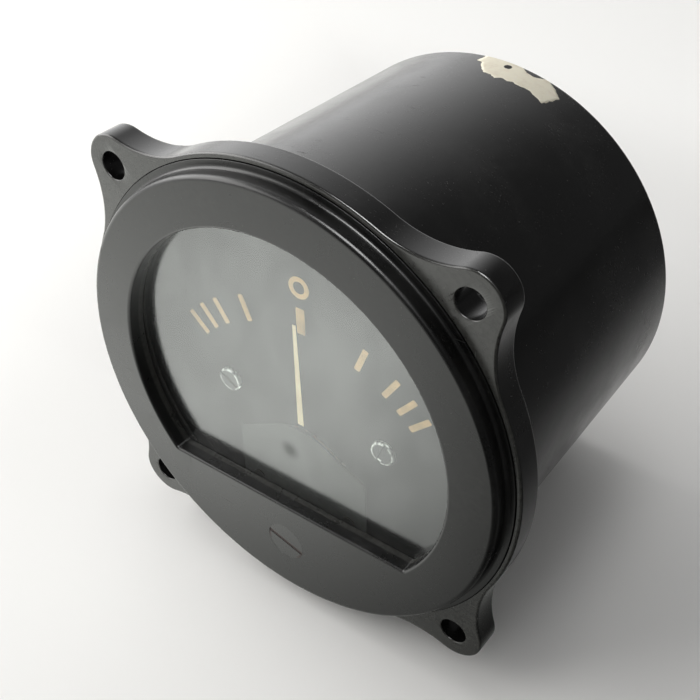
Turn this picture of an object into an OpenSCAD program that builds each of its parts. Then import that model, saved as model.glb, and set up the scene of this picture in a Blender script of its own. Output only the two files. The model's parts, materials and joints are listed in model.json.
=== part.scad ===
// Pilot director indicator: a panel meter with a moving-coil movement and a centre zero.
// Frame: X to the right seen from the front, +Y into the panel, +Z up.
// Origin: centre of the ear-hole circle, on the front of the ears.

/* [Case] */
// Radius of the circle through the four ear holes
ear_circle_r = 44.45; // [44:0.05:47]
// Radius of each ear hole
ear_hole_r = 2.3; // [1.6:0.05:2.6]
// Radius of the round tip of each ear
ear_tip_r = 5.1; // [4.4:0.1:6]
// Depth that the flanks of an ear are drawn in
ear_flank_dip = 0.75; // [0.3:0.05:1]
// Radius of the hollow flank of an ear
ear_flank_r = 18; // [14:0.5:22]
// Radius of the flange between the ears
flange_r = 41.1; // [40.9:0.1:42]
// Thickness of the flange and ears
flange_t = 4.6; // [4.2:0.1:7]
// Radius of the case just behind the flange
case_front_r = 37.1; // [36.8:0.1:38.5]
// Radius of the case at its back edge
case_back_r = 36.2; // [35.9:0.1:36.8]
// Depth of the case from the front of the ears
case_depth = 57.1; // [55:0.1:75]
// Wall of the case
case_wall = 3.3; // [2.4:0.1:3.6]
// Width of the ledge that stands in from the wall of the case
ledge_w = 1.53; // [1.2:0.01:1.8]
// Thickness of that ledge
ledge_t = 1.8; // [1:0.1:2]
// Thickness of the back of the case
back_t = 3; // [2.5:0.1:4]
// Width of the chamfer inside the back
corner_t = 1; // [0.5:0.1:2]
// Rounding of the back edge
back_edge_r = 0.6; // [0.5:0.1:2]

/* [Bezel and window] */
// Height of the bezel's face above the front of the ears
bezel_rise = 3; // [2.6:0.1:5]
// Radius of the bezel's side wall
bezel_r = 38.9; // [38:0.1:39.4]
// Radius of the lip at the foot of the bezel
bezel_lip_r = 40.2; // [40:0.05:40.4]
// Depth that the lip is let into the flange
lip_depth = 1; // [0.6:0.1:1.1]
// Distance of the lip's face above the front of the ears
lip_rise = 0.2; // [0.1:0.05:0.6]
// Gap between the lip and the flange round it
lip_gap = 0.15; // [0.1:0.01:0.25]
// Rounding of the bezel's front edge
bezel_edge_r = 0.7; // [0.3:0.1:1]
// Radius of the hollow at the foot of the bezel's wall
bezel_cove_r = 0.55; // [0.3:0.05:0.8]
// Radius of the window
window_r = 30.97; // [29:0.01:31.5]
// Distance of the window's flat below the centre
window_flat = 19.7; // [18:0.1:20.5]
// Rounding of the window's edge
window_edge_r = 0.5; // [0.2:0.05:0.8]

/* [Glass] */
// Depth of the glass behind the front of the ears
glass_y = 0.1; // [0:0.05:0.2]
// Thickness of the glass
glass_t = 1.4; // [1:0.1:1.5]
// Width of glass that the bezel covers
glass_cover = 2.6; // [2:0.1:2.7]
// Thickness of the gasket behind the glass
gasket_t = 0.4; // [0.3:0.05:0.5]
// Width of the gasket
gasket_w = 1.3; // [0.8:0.1:1.5]
// Radius of the circle of screws that hold the bezel from behind
bezel_screw_circle_r = 38; // [37.7:0.05:38.05]
// Radius of a bezel screw
bezel_screw_r = 0.75; // [0.6:0.05:0.8]
// Radius of a bezel screw's head
bezel_head_r = 1.25; // [1:0.05:1.3]

/* [Dial] */
// Depth of the dial's face behind the front of the ears
dial_y = 4; // [4:0.1:5]
// Thickness of the dial
dial_t = 0.7; // [0.5:0.1:0.8]
// Gap round the dial where it passes the ledge
dial_gap = 0.27; // [0.1:0.01:0.8]
// Radius of the opening in the dial round the pivot
dial_opening_r = 8.2; // [7.9:0.1:8.3]
// Thickness of the paint of the marks
paint_t = 0.06; // [0.03:0.01:0.1]
// Radius of the inner ends of the scale bars about the pivot
bar_inner_r = 27.5; // [25:0.1:28]
// Radius of the outer ends of the scale bars about the pivot
bar_outer_r = 32.2; // [31:0.1:33]
// Width of the outer scale bars
bar_w = 1.05; // [0.6:0.05:1.4]
// Width of the centre bar
centre_bar_w = 1.65; // [0.8:0.05:1.8]
// Rounding of the corners of the scale bars
bar_corner_r = 0.25; // [0.1:0.05:0.3]
// Turn of the printed scale on the dial
scale_turn = 0.7; // [0:0.1:1]
// Distance of the zero from the pivot
zero_r = 35.9; // [35:0.1:37]
// Outer radius of the zero
zero_outer_r = 1.9; // [1.5:0.05:2.2]
// Inner radius of the zero
zero_inner_r = 1.05; // [0.6:0.05:1.3]
// Sideways place of the dial screws
dial_screw_x = 15.5; // [15:0.1:16]
// Distance of the dial screws below the centre
dial_screw_drop = 4.7; // [4.5:0.1:5.2]
// Radius of a dial screw's head
dial_screw_head_r = 2.15; // [2:0.05:2.6]
// Height of a dial screw's head
dial_screw_head_t = 0.7; // [0.5:0.05:0.9]
// Length of thread of a dial screw behind the dial
dial_screw_grip = 3; // [2:0.1:5]
// Width of the slot in a large screw's head
wide_slot_w = 0.8; // [0.5:0.05:1]
// Width of the slot in a small screw's head
fine_slot_w = 0.35; // [0.2:0.05:0.5]
// Depth of the slot in a small screw's head
fine_slot_deep = 0.35; // [0.2:0.05:0.5]

/* [Pointer and cover] */
// Distance of the pivot below the centre
pivot_drop = 16.4; // [16.2:0.1:16.6]
// Depth of the pointer blade
pointer_y = 2.9; // [2.85:0.05:3.1]
// Thickness of the pointer
pointer_t = 0.25; // [0.15:0.05:0.3]
// Radius of the pointer's tip about the pivot
pointer_tip_r = 29.7; // [25:0.1:30.5]
// Width of the pointer at its tip
pointer_tip_w = 0.65; // [0.3:0.05:0.8]
// Width of the pointer's blade at its root
pointer_root_w = 1.3; // [0.7:0.05:1.4]
// Radius about the pivot at which the pointer's paint ends
pointer_paint_r = 10; // [9.6:0.1:16]
// Radius about the pivot at which the pointer steps forward
crank_r = 6.9; // [6.7:0.1:7.1]
// Depth of the pivot cover
cover_y = 2.2; // [2.1:0.05:2.25]
// Thickness of the pivot cover
cover_t = 0.4; // [0.2:0.05:0.4]
// Radius of the pivot cover about the pivot
cover_r = 9.4; // [9.2:0.1:9.6]
// Drop of the pivot cover's shoulders for each unit of width
cover_slope = 0.5; // [0.45:0.01:0.55]
// Half of the pivot cover's width
cover_half_w = 12.9; // [12.5:0.1:13.2]
// Rounding of the pivot cover's shoulders
cover_shoulder_r = 1.2; // [0.6:0.1:2]
// Distance of the pivot cover's lower edge below the centre
cover_foot = 24; // [23.8:0.1:24.2]
// Radius of a post under the pivot cover
cover_post_r = 1.4; // [1.2:0.05:1.5]
// Distance of a post from the side of the cover's foot
cover_post_inset = 3.4; // [3:0.1:3.6]
// Distance of a post above the cover's foot
cover_post_lift = 1.7; // [1.6:0.1:2]
// Radius of a cover screw
cover_screw_r = 0.75; // [0.5:0.05:0.8]
// Radius of a cover screw's head
cover_screw_head_r = 1.25; // [1.1:0.05:1.4]
// Height of a cover screw's head
cover_screw_head_t = 0.25; // [0.2:0.01:0.3]
// Half of the angle between the two pointer stops
stop_angle = 58.5; // [57.5:0.5:60]
// Radius of a pointer stop
stop_r = 0.4; // [0.3:0.05:0.4]

/* [Movement] */
// Gap between pieces that pass each other in depth
step_gap = 0.3; // [0.2:0.05:0.3]
// Radius of the pillars behind the dial
dial_pillar_r = 1.9; // [1.6:0.1:2]
// Spare depth of a screw hole past the screw's end
hole_spare = 0.4; // [0.2:0.1:0.8]
// Radius of a bridge screw
bridge_screw_r = 0.8; // [0.6:0.05:0.9]
// Depth of a bridge screw in the pole piece
bridge_screw_grip = 3; // [2:0.1:5]
// Length of a foot of the front bridge
bridge_foot = 2.8; // [2.4:0.1:2.8]
// Reach of the balance arms
balance_r = 5.8; // [5:0.1:6]
// Width of a balance arm
balance_arm_w = 0.4; // [0.3:0.05:0.5]
// Size of the weight on a balance arm
balance_weight = 1; // [0.6:0.1:1.2]
// Front of the pole pieces
pole_y = 9.4; // [9.3:0.1:10]
// Depth of the pole pieces and magnet
pole_t = 11.8; // [11.8:0.1:14]
// Radius of the bore between the pole pieces
pole_bore_r = 7.8; // [7.7:0.05:8]
// Half of the gap between the pole pieces
pole_gap = 1.6; // [1.5:0.1:2]
// Half of the height of the pole pieces
pole_half_h = 8; // [7:0.1:8.2]
// Inner half width of the magnet
magnet_inner = 18.5; // [18.2:0.1:19]
// Outer half width of the magnet
magnet_outer = 24; // [23:0.1:24.5]
// Distance of the magnet's feet below the centre
magnet_foot = 20; // [19:0.1:20.5]
// Radius of the core
core_r = 5.9; // [5.5:0.05:5.95]
// Distance of the core's ends from the faces of the pole pieces
core_inset = 0.9; // [0.8:0.05:1.1]
// Inner half width of the coil former
coil_inner = 6.25; // [6.2:0.05:6.3]
// Thickness of the coil former
former_t = 0.3; // [0.2:0.05:0.35]
// Thickness of the coil winding
winding_t = 0.7; // [0.5:0.05:0.75]
// Half of the coil's height
coil_half_h = 1.5; // [1:0.1:1.6]
// Radius of the pivot staffs
staff_r = 0.5; // [0.4:0.02:0.55]
// Running clearance of the pivots, the arm and the adjuster
run_gap = 0.05; // [0.03:0.01:0.08]
// Width of a hairspring's strip
spring_w = 0.5; // [0.3:0.05:0.5]
// Thickness of a hairspring's strip
spring_t = 0.12; // [0.08:0.01:0.15]
// Turns of a hairspring
spring_turns = 4.5; // [3.5:0.5:5.5]
// Outer radius of a hairspring
spring_r = 4.05; // [3.6:0.05:4.1]
// Radius of the pins that hold the hairsprings' outer ends
anchor_r = 0.35; // [0.25:0.05:0.4]
// Distance of those pins from the pivot
anchor_circle_r = 4.7; // [4.7:0.05:4.9]
// Thickness of the front bridge
bridge_t = 0.9; // [0.7:0.1:1]
// Half of the height of the front bridge
bridge_half_h = 2.6; // [2:0.1:2.6]
// Half of the length of the front bridge
bridge_half_w = 12.4; // [12:0.1:13]
// Radius of the jewel screws
jewel_screw_r = 1.3; // [1.1:0.05:1.4]
// Thickness of the corrector arm
corrector_t = 0.5; // [0.4:0.05:0.55]
// Radius of the corrector arm's hub
corrector_r = 2.9; // [2.6:0.05:3.1]
// Thickness of the movement frame
frame_t = 2; // [1.6:0.1:3]
// Radius of the movement frame
frame_r = 26; // [25:0.1:28]
// Distance from the pole pieces to the movement frame
frame_gap = 4; // [4:0.1:5]
// Sideways place of the frame screws
frame_screw_x = 13; // [12:0.1:14]
// Depth of a frame screw in the pole piece
frame_screw_grip = 4; // [3:0.1:5]
// Radius of the bosses between the pole pieces and the movement frame
frame_boss_r = 3; // [2.4:0.1:3.4]
// Height above the centre of the holes in the movement frame
frame_hole_z = 9; // [7:0.1:10]
// Radius of the holes in the movement frame
frame_hole_r = 3.9; // [2:0.1:3.9]
// Sideways place of the two lower mounting pillars
mount_x = 20; // [19:0.1:21]
// Distance of the two lower mounting pillars below the centre
mount_drop = 9; // [8:0.1:10]
// Distance of the upper mounting pillar above the centre
mount_rise = 19; // [17:0.1:20]
// Radius of the screw heads at the back
rear_head_r = 2.3; // [1.8:0.1:2.6]
// Height of the screw heads at the back
rear_head_t = 1.3; // [1:0.1:1.8]
// Depth of the slot in the screw heads at the back
rear_slot_deep = 0.6; // [0.4:0.05:0.8]
// Length of thread of a mounting screw in its pillar
mount_screw_grip = 7; // [5:0.5:10]
// Radius of the mounting pillars
pillar_r = 2.8; // [2.4:0.1:3.2]
// Radius of the small screws
small_screw_r = 1.1; // [0.9:0.05:1.2]

/* [Zero adjuster] */
// Distance of the adjuster below the centre
adjuster_drop = 28.2; // [28:0.1:28.4]
// Radius of the adjuster's head
adjuster_head_r = 3.6; // [3.2:0.05:3.7]
// Thickness of the adjuster's head
adjuster_head_t = 1.7; // [1.2:0.1:1.9]
// Distance of the head's face behind the bezel's face
adjuster_sink = 0.08; // [0.02:0.01:0.2]
// Radius of the adjuster's shaft
adjuster_shaft_r = 1.5; // [1.4:0.05:1.6]
// Distance of the eccentric pin from the shaft's axis
pin_offset = 1; // [0.8:0.05:1]
// Radius of the eccentric pin
pin_r = 0.45; // [0.35:0.05:0.5]
// Width of the driver slot
slot_w = 0.85; // [0.6:0.05:1.2]
// Depth of the driver slot
slot_depth = 0.8; // [0.5:0.05:1]
// Turn of the driver slot from level
slot_turn = -16.3; // [-45:0.1:45]
// Clearance of the pin in the corrector arm's fork
fork_gap = 0.12; // [0.1:0.01:0.2]

/* [Back of the case] */
// Sideways place of the terminal studs
stud_x = 12.7; // [12.4:0.1:14]
// Radius of the terminal studs
stud_r = 2.4; // [2:0.1:2.5]
// Length of the studs behind the case
stud_length = 12; // [10:0.5:16]
// Thickness of a terminal nut
nut_t = 3.2; // [2.5:0.1:3.6]
// Radius across the corners of a terminal nut
nut_r = 5; // [4.5:0.1:5.4]
// Thickness of a terminal washer
washer_t = 0.8; // [0.5:0.1:1]
// Radius of the resistor bobbin's cheeks
bobbin_r = 7.4; // [6:0.1:7.6]
// Length of the resistor bobbin
bobbin_l = 16; // [12:0.5:18]
// Radius of the lead wires
wire_r = 0.6; // [0.4:0.05:0.8]
// Width of what is left of the paper label
label_w = 15.8; // [12:0.1:18]
// Thickness of the paper label
label_t = 0.12; // [0.08:0.01:0.2]

/* [Hidden] */
$fn = 72;
eps = 0.01;
fit_gap = 0.02;

ear_c = ear_circle_r / sqrt(2);
recess_r = bezel_lip_r + lip_gap;
glass_r = window_r + glass_cover;
glass_fit = 0.1;
glass_flat = window_flat + glass_cover;
glass_back = glass_y + glass_t;
gasket_back = glass_back + gasket_t;
gasket_bore_r = glass_r + 0.4;
cavity_r = case_front_r - case_wall;
ledge_r = cavity_r - ledge_w;
dial_r = ledge_r - dial_gap;
ledge_back = gasket_back + ledge_t;
bezel_head_t = 1;
bezel_head_y = flange_t - bezel_head_t - 0.1;
bezel_screw_y = -1.2;
back_inner = case_depth - back_t;

pivot = [0, 0, -pivot_drop];
adjuster = [0, 0, -adjuster_drop];
bar_angles = [22, 33.5, 40.3, 46.5];
dial_back = dial_y + dial_t;
dial_screw_at = [for (s = [-1, 1]) [s * dial_screw_x, 0, -dial_screw_drop]];
cover_back = cover_y + cover_t;
cover_lean = atan(cover_slope);
cover_shoulder = [cover_half_w - cover_shoulder_r,
    (cover_r - cover_shoulder_r) / cos(cover_lean) - cover_slope * (cover_half_w - cover_shoulder_r)];
cover_post_at = [for (s = [-1, 1]) [s * (cover_half_w - cover_post_inset), 0, cover_post_lift - cover_foot]];

// The movement's front, from the dial's back to the coil
bridge_y = dial_back + 0.2;
bridge_back = bridge_y + bridge_t;
corrector_y = bridge_y - 0.2 - corrector_t;
lock_nut_t = 0.6;
lock_nut_y = corrector_y - run_gap - lock_nut_t;
lock_nut_r = 2.2;
front_screw_y = cover_back + step_gap;
front_screw_back = bridge_back + 0.5;
cup_depth = 0.9;
staff_tip = 0.7;
spring_y = front_screw_back + step_gap;
pointer_root_y = spring_y + spring_w + step_gap;
pointer_root_t = 0.4;
cross_y = pointer_root_y + pointer_root_t + 0.1;
cross_t = 0.3;
base_t = 0.4;
base_r = 2;
coil_y = cross_y + cross_t + 0.2 + base_t;

// The movement's middle and back
pole_back = pole_y + pole_t;
core_y = pole_y + core_inset;
core_back = pole_back - core_inset;
coil_wall = former_t + winding_t;
coil_end_gap = core_y - coil_y - coil_wall;
coil_back = core_back + coil_end_gap + coil_wall;
frame_y = pole_back + frame_gap;
frame_back = frame_y + frame_t;
rear_spring_y = coil_back + base_t + 0.8;
rear_cup_y = frame_y - 0.8;
rear_screw_back = frame_back + 2;
rear_nut_t = 1.4;
collet_r = 0.9;
hub_r = 1.6;
front_anchor_angle = -50;
rear_anchor_angle = 200;
frame_screw_at = [for (s = [-1, 1]) [s * frame_screw_x, 0, 0]];
bridge_foot_at = [for (s = [-1, 1]) [s * (bridge_half_w - bridge_foot / 2), 0, 0]];
mount_at = [[-mount_x, 0, -mount_drop], [mount_x, 0, -mount_drop], [0, 0, mount_rise]];

// The adjuster's stack from the bezel's face to its pin
head_y = -bezel_rise + adjuster_sink;
head_back = head_y + adjuster_head_t;
bezel_back = lip_depth;
washer_gap = 0.4;
clip_y = bezel_back + washer_gap;
clip_t = 0.5;
clip_r = 1.8 * adjuster_shaft_r - 0.1;
clip_gap_half = adjuster_shaft_r / 2;
shaft_back = clip_y + clip_t + 0.3;
clip_groove_r = adjuster_shaft_r - 0.4;
fork_half = pin_r + fork_gap;
fork_tip = adjuster_drop - pivot_drop + pin_offset + 1.7;
fork_root = adjuster_drop - pivot_drop + pin_offset - 1.9;

bobbin_z = 2;
bobbin_back = back_inner - 3;
bobbin_y = bobbin_back - bobbin_l;
bobbin_cheek = 1.4;
bobbin_core_r = 3.4;
resistor_screw_r = 1.7;
resistor_head_r = 3.2;
resistor_head_t = 1.6;
resistor_grip = back_t / 2;
stud_head_t = 2;
stud_head_r = 3.6;
stud_at = [for (s = [-1, 1]) [s * stud_x, 0, bobbin_z]];

black = [0.06, 0.06, 0.06];
cream = [0.86, 0.82, 0.72];
brass = [0.72, 0.6, 0.32];
steel = [0.55, 0.56, 0.58];

function arc(c, r, from, to, n = 6) =
    [for (i = [0 : n]) let (a = from + (to - from) * i / n) [c[0] + r * cos(a), c[1] + r * sin(a)]];

// A flat outline in X and Z, from depth y0 to depth y1
module plate(y0, y1) {
    translate([0, y1, 0]) rotate([90, 0, 0]) linear_extrude(y1 - y0) children();
}

// A profile in radius and depth, turned round the Y axis
module turned() {
    rotate([-90, 0, 0]) rotate_extrude() children();
}

module rod(r, y0, y1) {
    translate([0, y0, 0]) rotate([-90, 0, 0]) cylinder(r = r, h = y1 - y0);
}

module tube(r_out, r_in, y0, y1) {
    difference() {
        rod(r_out, y0, y1);
        rod(r_in, y0 - 1, y1 + 1);
    }
}

module each_at(places) {
    for (p = places) translate(p) children();
}

// The corner of a square with a round tip and hollow flanks
module ear_outline() {
    side = ear_c + ear_tip_r;
    flank_mid = 0.5 * (ear_c + sqrt(flange_r * flange_r - side * side));
    difference() {
        union() {
            square([ear_c, side]);
            square([side, ear_c]);
            translate([ear_c, ear_c]) circle(ear_tip_r);
        }
        translate([flank_mid, side - ear_flank_dip + ear_flank_r]) circle(ear_flank_r);
        translate([side - ear_flank_dip + ear_flank_r, flank_mid]) circle(ear_flank_r);
    }
}

module flange_outline() {
    circle(flange_r);
    for (q = [0 : 3]) rotate(90 * q) ear_outline();
}

// Each bezel screw lies behind an ear, its head in a pocket that runs into the case's side
module each_bezel_screw() {
    for (q = [0 : 3]) rotate([0, 45 + 90 * q, 0]) translate([0, 0, bezel_screw_circle_r]) children();
}

function case_profile(extra) = concat(
    [[case_front_r + extra, flange_t - eps]],
    arc([case_back_r - back_edge_r, case_depth - back_edge_r], back_edge_r + extra, 0, 90));

module case_cavity() {
    turned() polygon([
        [0, -1], [recess_r, -1], [recess_r, lip_depth], [gasket_bore_r, lip_depth],
        [gasket_bore_r, gasket_back], [ledge_r, gasket_back], [ledge_r, ledge_back],
        [cavity_r, ledge_back], [case_back_r - case_wall, back_inner - corner_t],
        [case_back_r - case_wall - corner_t, back_inner], [0, back_inner]]);
}

module case_shell() difference() {
    union() {
        plate(0, flange_t) flange_outline();
        turned() polygon(concat([[0, flange_t - eps]], case_profile(0), [[0, case_depth]]));
    }
    case_cavity();
}

module case_body() color(black) difference() {
    union() {
        case_shell();
        translate([0, 0, bobbin_z]) rod(5, bobbin_back, back_inner + eps);
    }
    for (q = [0 : 3]) rotate([0, 90 * q, 0]) translate([ear_c, 0, ear_c]) rod(ear_hole_r, -1, flange_t + 1);
    each_bezel_screw() {
        rod(bezel_screw_r + fit_gap, 0, flange_t);
        rod(bezel_head_r + 0.25, bezel_head_y, flange_t + 6);
    }
    each_at(stud_at) rod(stud_r + fit_gap, back_inner - 1, case_depth + 1);
    each_at(mount_at) rod(small_screw_r + 0.2, back_inner - 1, case_depth + 1);
    translate([0, 0, bobbin_z]) rod(resistor_screw_r + fit_gap, bobbin_back - 1, back_inner + resistor_grip + 0.3);
}

// The window's round edge and its flat share one rounded section
module window_void(r, flat, y0, y1) {
    intersection() {
        turned() polygon([[0, y0], [r, y0], [r, y1], [0, y1]]);
        plate(y0 - 1, y1 + 1) translate([-2 * r, -flat]) square([4 * r, flat + 2 * r]);
    }
}

module window_opening() {
    y0 = -bezel_rise;
    flare = concat([[window_edge_r + 1, y0 - 1]],
        [for (p = arc([window_edge_r, y0 + window_edge_r], window_edge_r, 270, 180)) p], [[0, glass_y + 1]]);
    intersection() {
        turned() polygon(concat([[0, y0 - 1]], [for (p = flare) [window_r + p[0], p[1]]], [[0, glass_y + 1]]));
        translate([-2 * window_r, 0, 0]) rotate([90, 0, 90]) linear_extrude(4 * window_r)
            polygon(concat([for (p = flare) [p[1], -window_flat - p[0]]],
                [[glass_y + 1, 2 * window_r], [y0 - 1, 2 * window_r]]));
    }
}

module bezel() color(black) difference() {
    turned() polygon(concat(
        [[0, -bezel_rise]],
        arc([bezel_r - bezel_edge_r, bezel_edge_r - bezel_rise], bezel_edge_r, 270, 360),
        arc([bezel_r + bezel_cove_r, -lip_rise - bezel_cove_r], bezel_cove_r, 180, 90),
        [[bezel_lip_r, -lip_rise], [bezel_lip_r, bezel_back], [0, bezel_back]]));
    window_opening();
    window_void(glass_r + glass_fit, glass_flat + glass_fit, glass_y, bezel_back + 1);
    translate(adjuster) rod(adjuster_head_r + 2 * run_gap, -bezel_rise - 1, head_back);
    translate(adjuster) rod(adjuster_shaft_r + run_gap, head_back - 1, bezel_back + 1);
    each_bezel_screw() rod(bezel_screw_r + fit_gap, bezel_screw_y - 0.3, bezel_back + 1);
}

module bezel_screws() color(steel) each_bezel_screw() {
    rod(bezel_screw_r, bezel_screw_y, bezel_head_y + eps);
    rotate([180, 0, 0]) slotted_head(bezel_head_r, -bezel_head_y - bezel_head_t, -bezel_head_y, fine_slot_w, fine_slot_deep);
}

module window_glass() color([0.75, 0.8, 0.8], 0.35)
    window_void(glass_r, glass_flat, glass_y, glass_back);

module glass_gasket() color([0.2, 0.16, 0.12]) difference() {
    window_void(glass_r, glass_flat, glass_back, gasket_back);
    rod(glass_r - gasket_w, glass_back - 1, gasket_back + 1);
}

module dial_outline() difference() {
    circle(dial_r);
    translate([0, -pivot_drop]) circle(dial_opening_r);
    translate([-dial_opening_r, -pivot_drop - 2 * dial_r]) square([2 * dial_opening_r, 2 * dial_r]);
}

module dial_plate() color(black) difference() {
    plate(dial_y, dial_back) dial_outline();
    each_at(dial_screw_at) rod(small_screw_r + fit_gap, dial_y - 1, dial_back + 1);
    each_at(cover_post_at) rod(cover_screw_r + fit_gap, dial_y - 1, dial_back + 1);
}

module scale_bar(w) {
    side = w / 2 - bar_corner_r;
    top = bar_outer_r - bar_corner_r;
    foot = bar_inner_r + bar_corner_r;
    polygon(concat(
        arc([side, top], bar_corner_r, 0, 90, 6), arc([-side, top], bar_corner_r, 90, 180, 6),
        arc([-side, foot], bar_corner_r, 180, 270, 6), arc([side, foot], bar_corner_r, 270, 360, 6)));
}

module dial_marks() color(cream) translate(pivot) rotate([0, scale_turn, 0]) plate(dial_y - paint_t, dial_y) {
    scale_bar(centre_bar_w);
    for (a = bar_angles, s = [-1, 1]) rotate(s * a) scale_bar(bar_w);
    translate([0, zero_r]) difference() {
        circle(zero_outer_r);
        circle(zero_inner_r);
    }
}

module slotted_head(r, y0, y1, slot, deep) difference() {
    rod(r, y0, y1);
    translate([-r - 1, y0 - 1, -slot / 2]) cube([2 * r + 2, deep + 1, slot]);
}

module dial_screws() color(black) each_at(dial_screw_at) {
    slotted_head(dial_screw_head_r, dial_y - dial_screw_head_t, dial_y, wide_slot_w, fine_slot_deep);
    rod(small_screw_r, dial_y - eps, dial_back + dial_screw_grip);
}

module dial_pillars() color(brass) each_at(dial_screw_at) difference() {
    rod(dial_pillar_r, dial_back, frame_y);
    rod(small_screw_r + fit_gap, dial_back - 1, dial_back + dial_screw_grip + hole_spare);
}

module cover_outline() translate([0, -pivot_drop]) polygon(concat(
    [[cover_half_w, pivot_drop - cover_foot]],
    arc(cover_shoulder, cover_shoulder_r, 0, 90 - cover_lean, 8),
    arc([0, 0], cover_r, 90 - cover_lean, 90 + cover_lean, 36),
    arc([-cover_shoulder[0], cover_shoulder[1]], cover_shoulder_r, 90 + cover_lean, 180, 8),
    [[-cover_half_w, pivot_drop - cover_foot]]));

module pivot_cover() color([0.1, 0.1, 0.1]) difference() {
    plate(cover_y, cover_back) cover_outline();
    each_at(cover_post_at) rod(cover_screw_r + fit_gap, cover_y - 1, cover_back + 1);
}

module cover_posts() color(brass) each_at(cover_post_at)
    tube(cover_post_r, cover_screw_r + fit_gap, cover_back, dial_y);

module cover_screws() color(brass) each_at(cover_post_at) {
    slotted_head(cover_screw_head_r, cover_y - cover_screw_head_t, cover_y, fine_slot_w, cover_screw_head_t / 2);
    rod(cover_screw_r, cover_y - eps, dial_back + eps);
}

module pointer_stops() color(steel) translate(pivot) for (s = [-1, 1])
    rotate([0, s * stop_angle, 0]) translate([0, 0, dial_opening_r + stop_r + 0.1])
        rod(stop_r, cover_back + 0.15, dial_y);

module front_bridge() color(brass) translate(pivot) difference() {
    union() {
        plate(bridge_y, bridge_back) square([2 * bridge_half_w, 2 * bridge_half_h], center = true);
        each_at(bridge_foot_at)
            plate(bridge_back - eps, pole_y) square([bridge_foot, 2 * bridge_half_h], center = true);
    }
    rod(jewel_screw_r + fit_gap, bridge_y - 1, bridge_back + 1);
    each_at(bridge_foot_at) rod(bridge_screw_r + fit_gap, bridge_y - 1, pole_y + 1);
}

module bridge_screws() color(brass) translate(pivot) each_at(bridge_foot_at)
    rod(bridge_screw_r, bridge_y, pole_y + bridge_screw_grip);

module front_jewel_screw() color(brass) translate(pivot) difference() {
    slotted_head(jewel_screw_r, front_screw_y, front_screw_back, fine_slot_w, fine_slot_deep);
    rod(staff_r + run_gap, front_screw_back - cup_depth, front_screw_back + 1);
}

module hex_nut(r_out, r_in, y0, y1) difference() {
    translate([0, y0, 0]) rotate([-90, 0, 0]) cylinder(r = r_out, h = y1 - y0, $fn = 6);
    rod(r_in, y0 - 1, y1 + 1);
}

module front_lock_nut() color(brass) translate(pivot)
    hex_nut(lock_nut_r, jewel_screw_r + fit_gap, lock_nut_y, lock_nut_y + lock_nut_t);

module magnet_outline() difference() {
    union() {
        circle(magnet_outer);
        translate([-magnet_outer, -magnet_foot]) square([2 * magnet_outer, magnet_foot]);
    }
    circle(magnet_inner);
    translate([-magnet_inner, -2 * magnet_foot]) square([2 * magnet_inner, 2 * magnet_foot]);
    translate([-2 * magnet_outer, -magnet_foot - magnet_outer]) square([4 * magnet_outer, magnet_outer]);
}

module magnet() color([0.3, 0.31, 0.33]) plate(pole_y, pole_back) magnet_outline();

module pole_pieces() color(steel) translate(pivot) difference() {
    for (s = [0, 1]) mirror([s, 0, 0]) plate(pole_y, pole_back)
        translate([pole_gap, -pole_half_h]) square([magnet_inner - pole_gap, 2 * pole_half_h]);
    rod(pole_bore_r, pole_y - 1, pole_back + 1);
    each_at(bridge_foot_at)
        rod(bridge_screw_r + fit_gap, pole_y - 1, pole_y + bridge_screw_grip + hole_spare);
    each_at(frame_screw_at)
        rod(small_screw_r + fit_gap, pole_back - frame_screw_grip - hole_spare, pole_back + 1);
}

module core() color(steel) translate(pivot) rod(core_r, core_y, core_back);

module core_supports() color(brass) translate(pivot) difference() {
    for (s = [0, 1]) mirror([0, 0, s]) plate(core_y + 1.5, core_back - 1.5)
        translate([-pole_gap, core_r - 1]) square([2 * pole_gap, pole_half_h - core_r + 1]);
    rod(core_r + fit_gap, core_y, core_back);
}

module movement_frame() color([0.62, 0.63, 0.64]) difference() {
    union() {
        plate(frame_y, frame_back) circle(frame_r);
        translate(pivot) each_at(frame_screw_at) rod(frame_boss_r, pole_back, frame_y + eps);
    }
    plate(frame_y - 1, frame_back + 1) {
        for (x = [-1, 0, 1]) translate([x * frame_screw_x, frame_hole_z]) circle(frame_hole_r);
    }
    translate(pivot) rod(jewel_screw_r + fit_gap, frame_y - 1, frame_back + 1);
    translate(pivot) each_at(frame_screw_at) rod(small_screw_r + fit_gap, pole_back - 1, frame_back + 1);
    each_at(mount_at) rod(small_screw_r + fit_gap, frame_y - 1, frame_back + 1);
}

module frame_screws() color(brass) translate(pivot) each_at(frame_screw_at) {
    rod(small_screw_r, pole_back - frame_screw_grip, frame_back + eps);
    rotate([180, 0, 0]) slotted_head(rear_head_r, -frame_back - rear_head_t, -frame_back, wide_slot_w, rear_slot_deep);
}

module rear_jewel_screw() color(brass) translate(pivot) difference() {
    rotate([180, 0, 0]) slotted_head(jewel_screw_r, -rear_screw_back, -rear_cup_y, fine_slot_w, fine_slot_deep);
    rod(staff_r + run_gap, rear_cup_y - 1, rear_cup_y + cup_depth);
}

module rear_lock_nut() color(brass) translate(pivot)
    hex_nut(lock_nut_r, jewel_screw_r + fit_gap, frame_back, frame_back + rear_nut_t);

module anchor_pin(angle, y0, y1) {
    rotate([0, -angle, 0]) translate([anchor_circle_r, 0, 0]) rod(anchor_r, y0, y1);
}

module rear_anchor() color(brass) translate(pivot)
    anchor_pin(rear_anchor_angle, rear_spring_y - 0.1, frame_y);

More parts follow.
